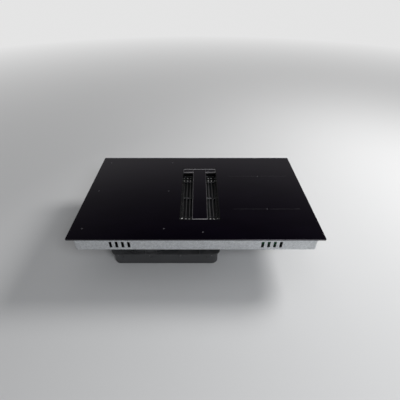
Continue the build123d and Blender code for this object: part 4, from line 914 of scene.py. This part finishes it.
class COOKTOP_OT_coils(bpy.types.Operator):
    """Finish the coils and what lies over and under them"""

    bl_idname = "cooktop.coils"
    bl_label = "Induction Coils"

    def execute(self, context):
        electrics = context.scene.cooktop_electrics
        for name in ("front_left_coil", "rear_left_coil", "front_right_coil", "rear_right_coil"):
            low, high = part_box(name)
            oval = (1.0, (high.x - low.x) / (high.y - low.y), 1.0)
            dress(winding_finish(f"{name}_winding", electrics, (low + high) / 2, oval), name)
        ferrite = rubber_finish("sintered_ferrite", electrics.ferrite, 0.6, 900.0, 0.1 * MM)
        dress(ferrite, "left_ferrites", "right_ferrites")
        dress(mica_finish(electrics), "left_mica", "right_mica")
        alloy = metal_finish("mill_alloy", context.scene.cooktop_metals.alloy, 0.36, lines=(0.05, 1.0, 1.0))
        dress(alloy, "left_coil_plate", "right_coil_plate", "left_heat_sink", "right_heat_sink", "motor_mount")
        ceramic = moulding_finish("sensor_ceramic", electrics.ceramic, 0.45, dusty=0.1, worn=0.9)
        dress(ceramic, "temperature_sensors", "board_spacers")
        return {"FINISHED"}


class COOKTOP_OT_electronics(bpy.types.Operator):
    """Finish the boards, the touch control and its cable"""

    bl_idname = "cooktop.electronics"
    bl_label = "Electronics"

    def execute(self, context):
        electrics = context.scene.cooktop_electrics
        for node in ("left_power_board", "right_power_board", "mains_filter_board", "control_board"):
            dress(board_finish(electrics, node), node)
        dress(moulding_finish("holder_moulding", electrics.holder, 0.5), "control_holder")
        dress(ribbon_finish(electrics), "ribbon_cable")
        return {"FINISHED"}


class COOKTOP_OT_fans(bpy.types.Operator):
    """Finish the two cooling fans"""

    bl_idname = "cooktop.fans"
    bl_label = "Cooling Fans"

    def execute(self, context):
        fan = context.scene.cooktop_mouldings.fan
        dress(moulding_finish("fan_moulding", fan, 0.5, dusty=0.5), "left_fan_frame", "right_fan_frame")
        dress(moulding_finish("rotor_moulding", shade(fan, 1.3), 0.38), "left_fan_rotor", "right_fan_rotor")
        return {"FINISHED"}


class COOKTOP_OT_housings(bpy.types.Operator):
    """Finish the air housings and the outlet"""

    bl_idname = "cooktop.housings"
    bl_label = "Air Housings"

    def execute(self, context):
        plastics = context.scene.cooktop_mouldings
        housing = moulding_finish("housing_moulding", plastics.housing, 0.48, grain=900.0)
        dress(housing, "air_shaft", "plenum_base", "scroll_housing", "scroll_floor")
        duct = moulding_finish("duct_moulding", plastics.duct, 0.4, grain=700.0, dusty=0.1, worn=1.1)
        dress(duct, "duct_spigot")
        return {"FINISHED"}


class COOKTOP_OT_blower(bpy.types.Operator):
    """Finish the blower wheel and its motor"""

    bl_idname = "cooktop.blower"
    bl_label = "Blower"

    def execute(self, context):
        metals = context.scene.cooktop_metals
        wheel = moulding_finish("wheel_moulding", context.scene.cooktop_mouldings.wheel, 0.42)
        dress(wheel, "impeller", "inlet_ring")
        dress(metal_finish("rotor_steel", shade(metals.zinc, 0.9), 0.3, scale=300.0), "motor_rotor")
        dress(lamination_finish(metals), "motor_stator")
        dress(metal_finish("ground_steel", metals.alloy, 0.15, scale=1500.0), "motor_bearings", "housing_screws")
        return {"FINISHED"}


class COOKTOP_OT_mains(bpy.types.Operator):
    """Finish the terminal box and what it holds"""

    bl_idname = "cooktop.mains"
    bl_label = "Mains Connection"

    def execute(self, context):
        plastics = context.scene.cooktop_mouldings
        box = moulding_finish("terminal_box_moulding", shade(plastics.housing, 1.5), 0.42)
        dress(box, "terminal_box", "terminal_cover", "cable_clamp")
        dress(moulding_finish("terminal_moulding", context.scene.cooktop_electrics.terminal, 0.35), "terminal_block")
        return {"FINISHED"}


class COOKTOP_OT_stage(bpy.types.Operator):
    """Lay the floor, hang the lamps and set the camera"""

    bl_idname = "cooktop.stage"
    bl_label = "Studio"

    def execute(self, context):
        studio = context.scene.cooktop_studio
        lay_floor(studio)
        hang_lamp("key_lamp", studio.key_power, studio.lamp_size, *KEY_LAMP)
        hang_lamp("fill_lamp", studio.fill_power, studio.lamp_size, *FILL_LAMP)
        light_backdrop(studio)
        set_camera(studio)
        context.scene.view_settings.view_transform = "Standard"
        return {"FINISHED"}


class COOKTOP_PT_panel(bpy.types.Panel):
    """The cooktop's groups of pieces, in the order in which they are made"""

    bl_idname = "COOKTOP_PT_panel"
    bl_label = "Downdraft Induction Cooktop"
    bl_space_type = "VIEW_3D"
    bl_region_type = "UI"
    bl_category = "Cooktop"

    def draw(self, context):
        column = self.layout.column()
        for operator in OPERATORS:
            column.operator(operator.bl_idname)


SETTINGS = {
    "cooktop_glass": CooktopGlass,
    "cooktop_metals": CooktopMetals,
    "cooktop_mouldings": CooktopMouldings,
    "cooktop_electrics": CooktopElectrics,
    "cooktop_studio": CooktopStudio,
}
OPERATORS = (
    COOKTOP_OT_effects,
    COOKTOP_OT_glass,
    COOKTOP_OT_print,
    COOKTOP_OT_cover,
    COOKTOP_OT_inlet,
    COOKTOP_OT_filters,
    COOKTOP_OT_pan,
    COOKTOP_OT_coils,
    COOKTOP_OT_electronics,
    COOKTOP_OT_fans,
    COOKTOP_OT_housings,
    COOKTOP_OT_blower,
    COOKTOP_OT_mains,
    COOKTOP_OT_stage,
)


def register():
    for name, group in SETTINGS.items():
        bpy.utils.register_class(group)
        setattr(bpy.types.Scene, name, PointerProperty(type=group))
    for operator in OPERATORS:
        bpy.utils.register_class(operator)
    bpy.utils.register_class(COOKTOP_PT_panel)


def unregister():
    bpy.utils.unregister_class(COOKTOP_PT_panel)
    for operator in reversed(OPERATORS):
        bpy.utils.unregister_class(operator)
    for name, group in SETTINGS.items():
        delattr(bpy.types.Scene, name)
        bpy.utils.unregister_class(group)


def main():
    """Make everything in order."""
    register()
    bpy.ops.cooktop.effects()
    bpy.ops.cooktop.glass()
    bpy.ops.cooktop.print()
    bpy.ops.cooktop.cover()
    bpy.ops.cooktop.inlet()
    bpy.ops.cooktop.filters()
    bpy.ops.cooktop.pan()
    bpy.ops.cooktop.coils()
    bpy.ops.cooktop.electronics()
    bpy.ops.cooktop.fans()
    bpy.ops.cooktop.housings()
    bpy.ops.cooktop.blower()
    bpy.ops.cooktop.mains()
    bpy.ops.cooktop.stage()


if __name__ == "__main__":
    main()
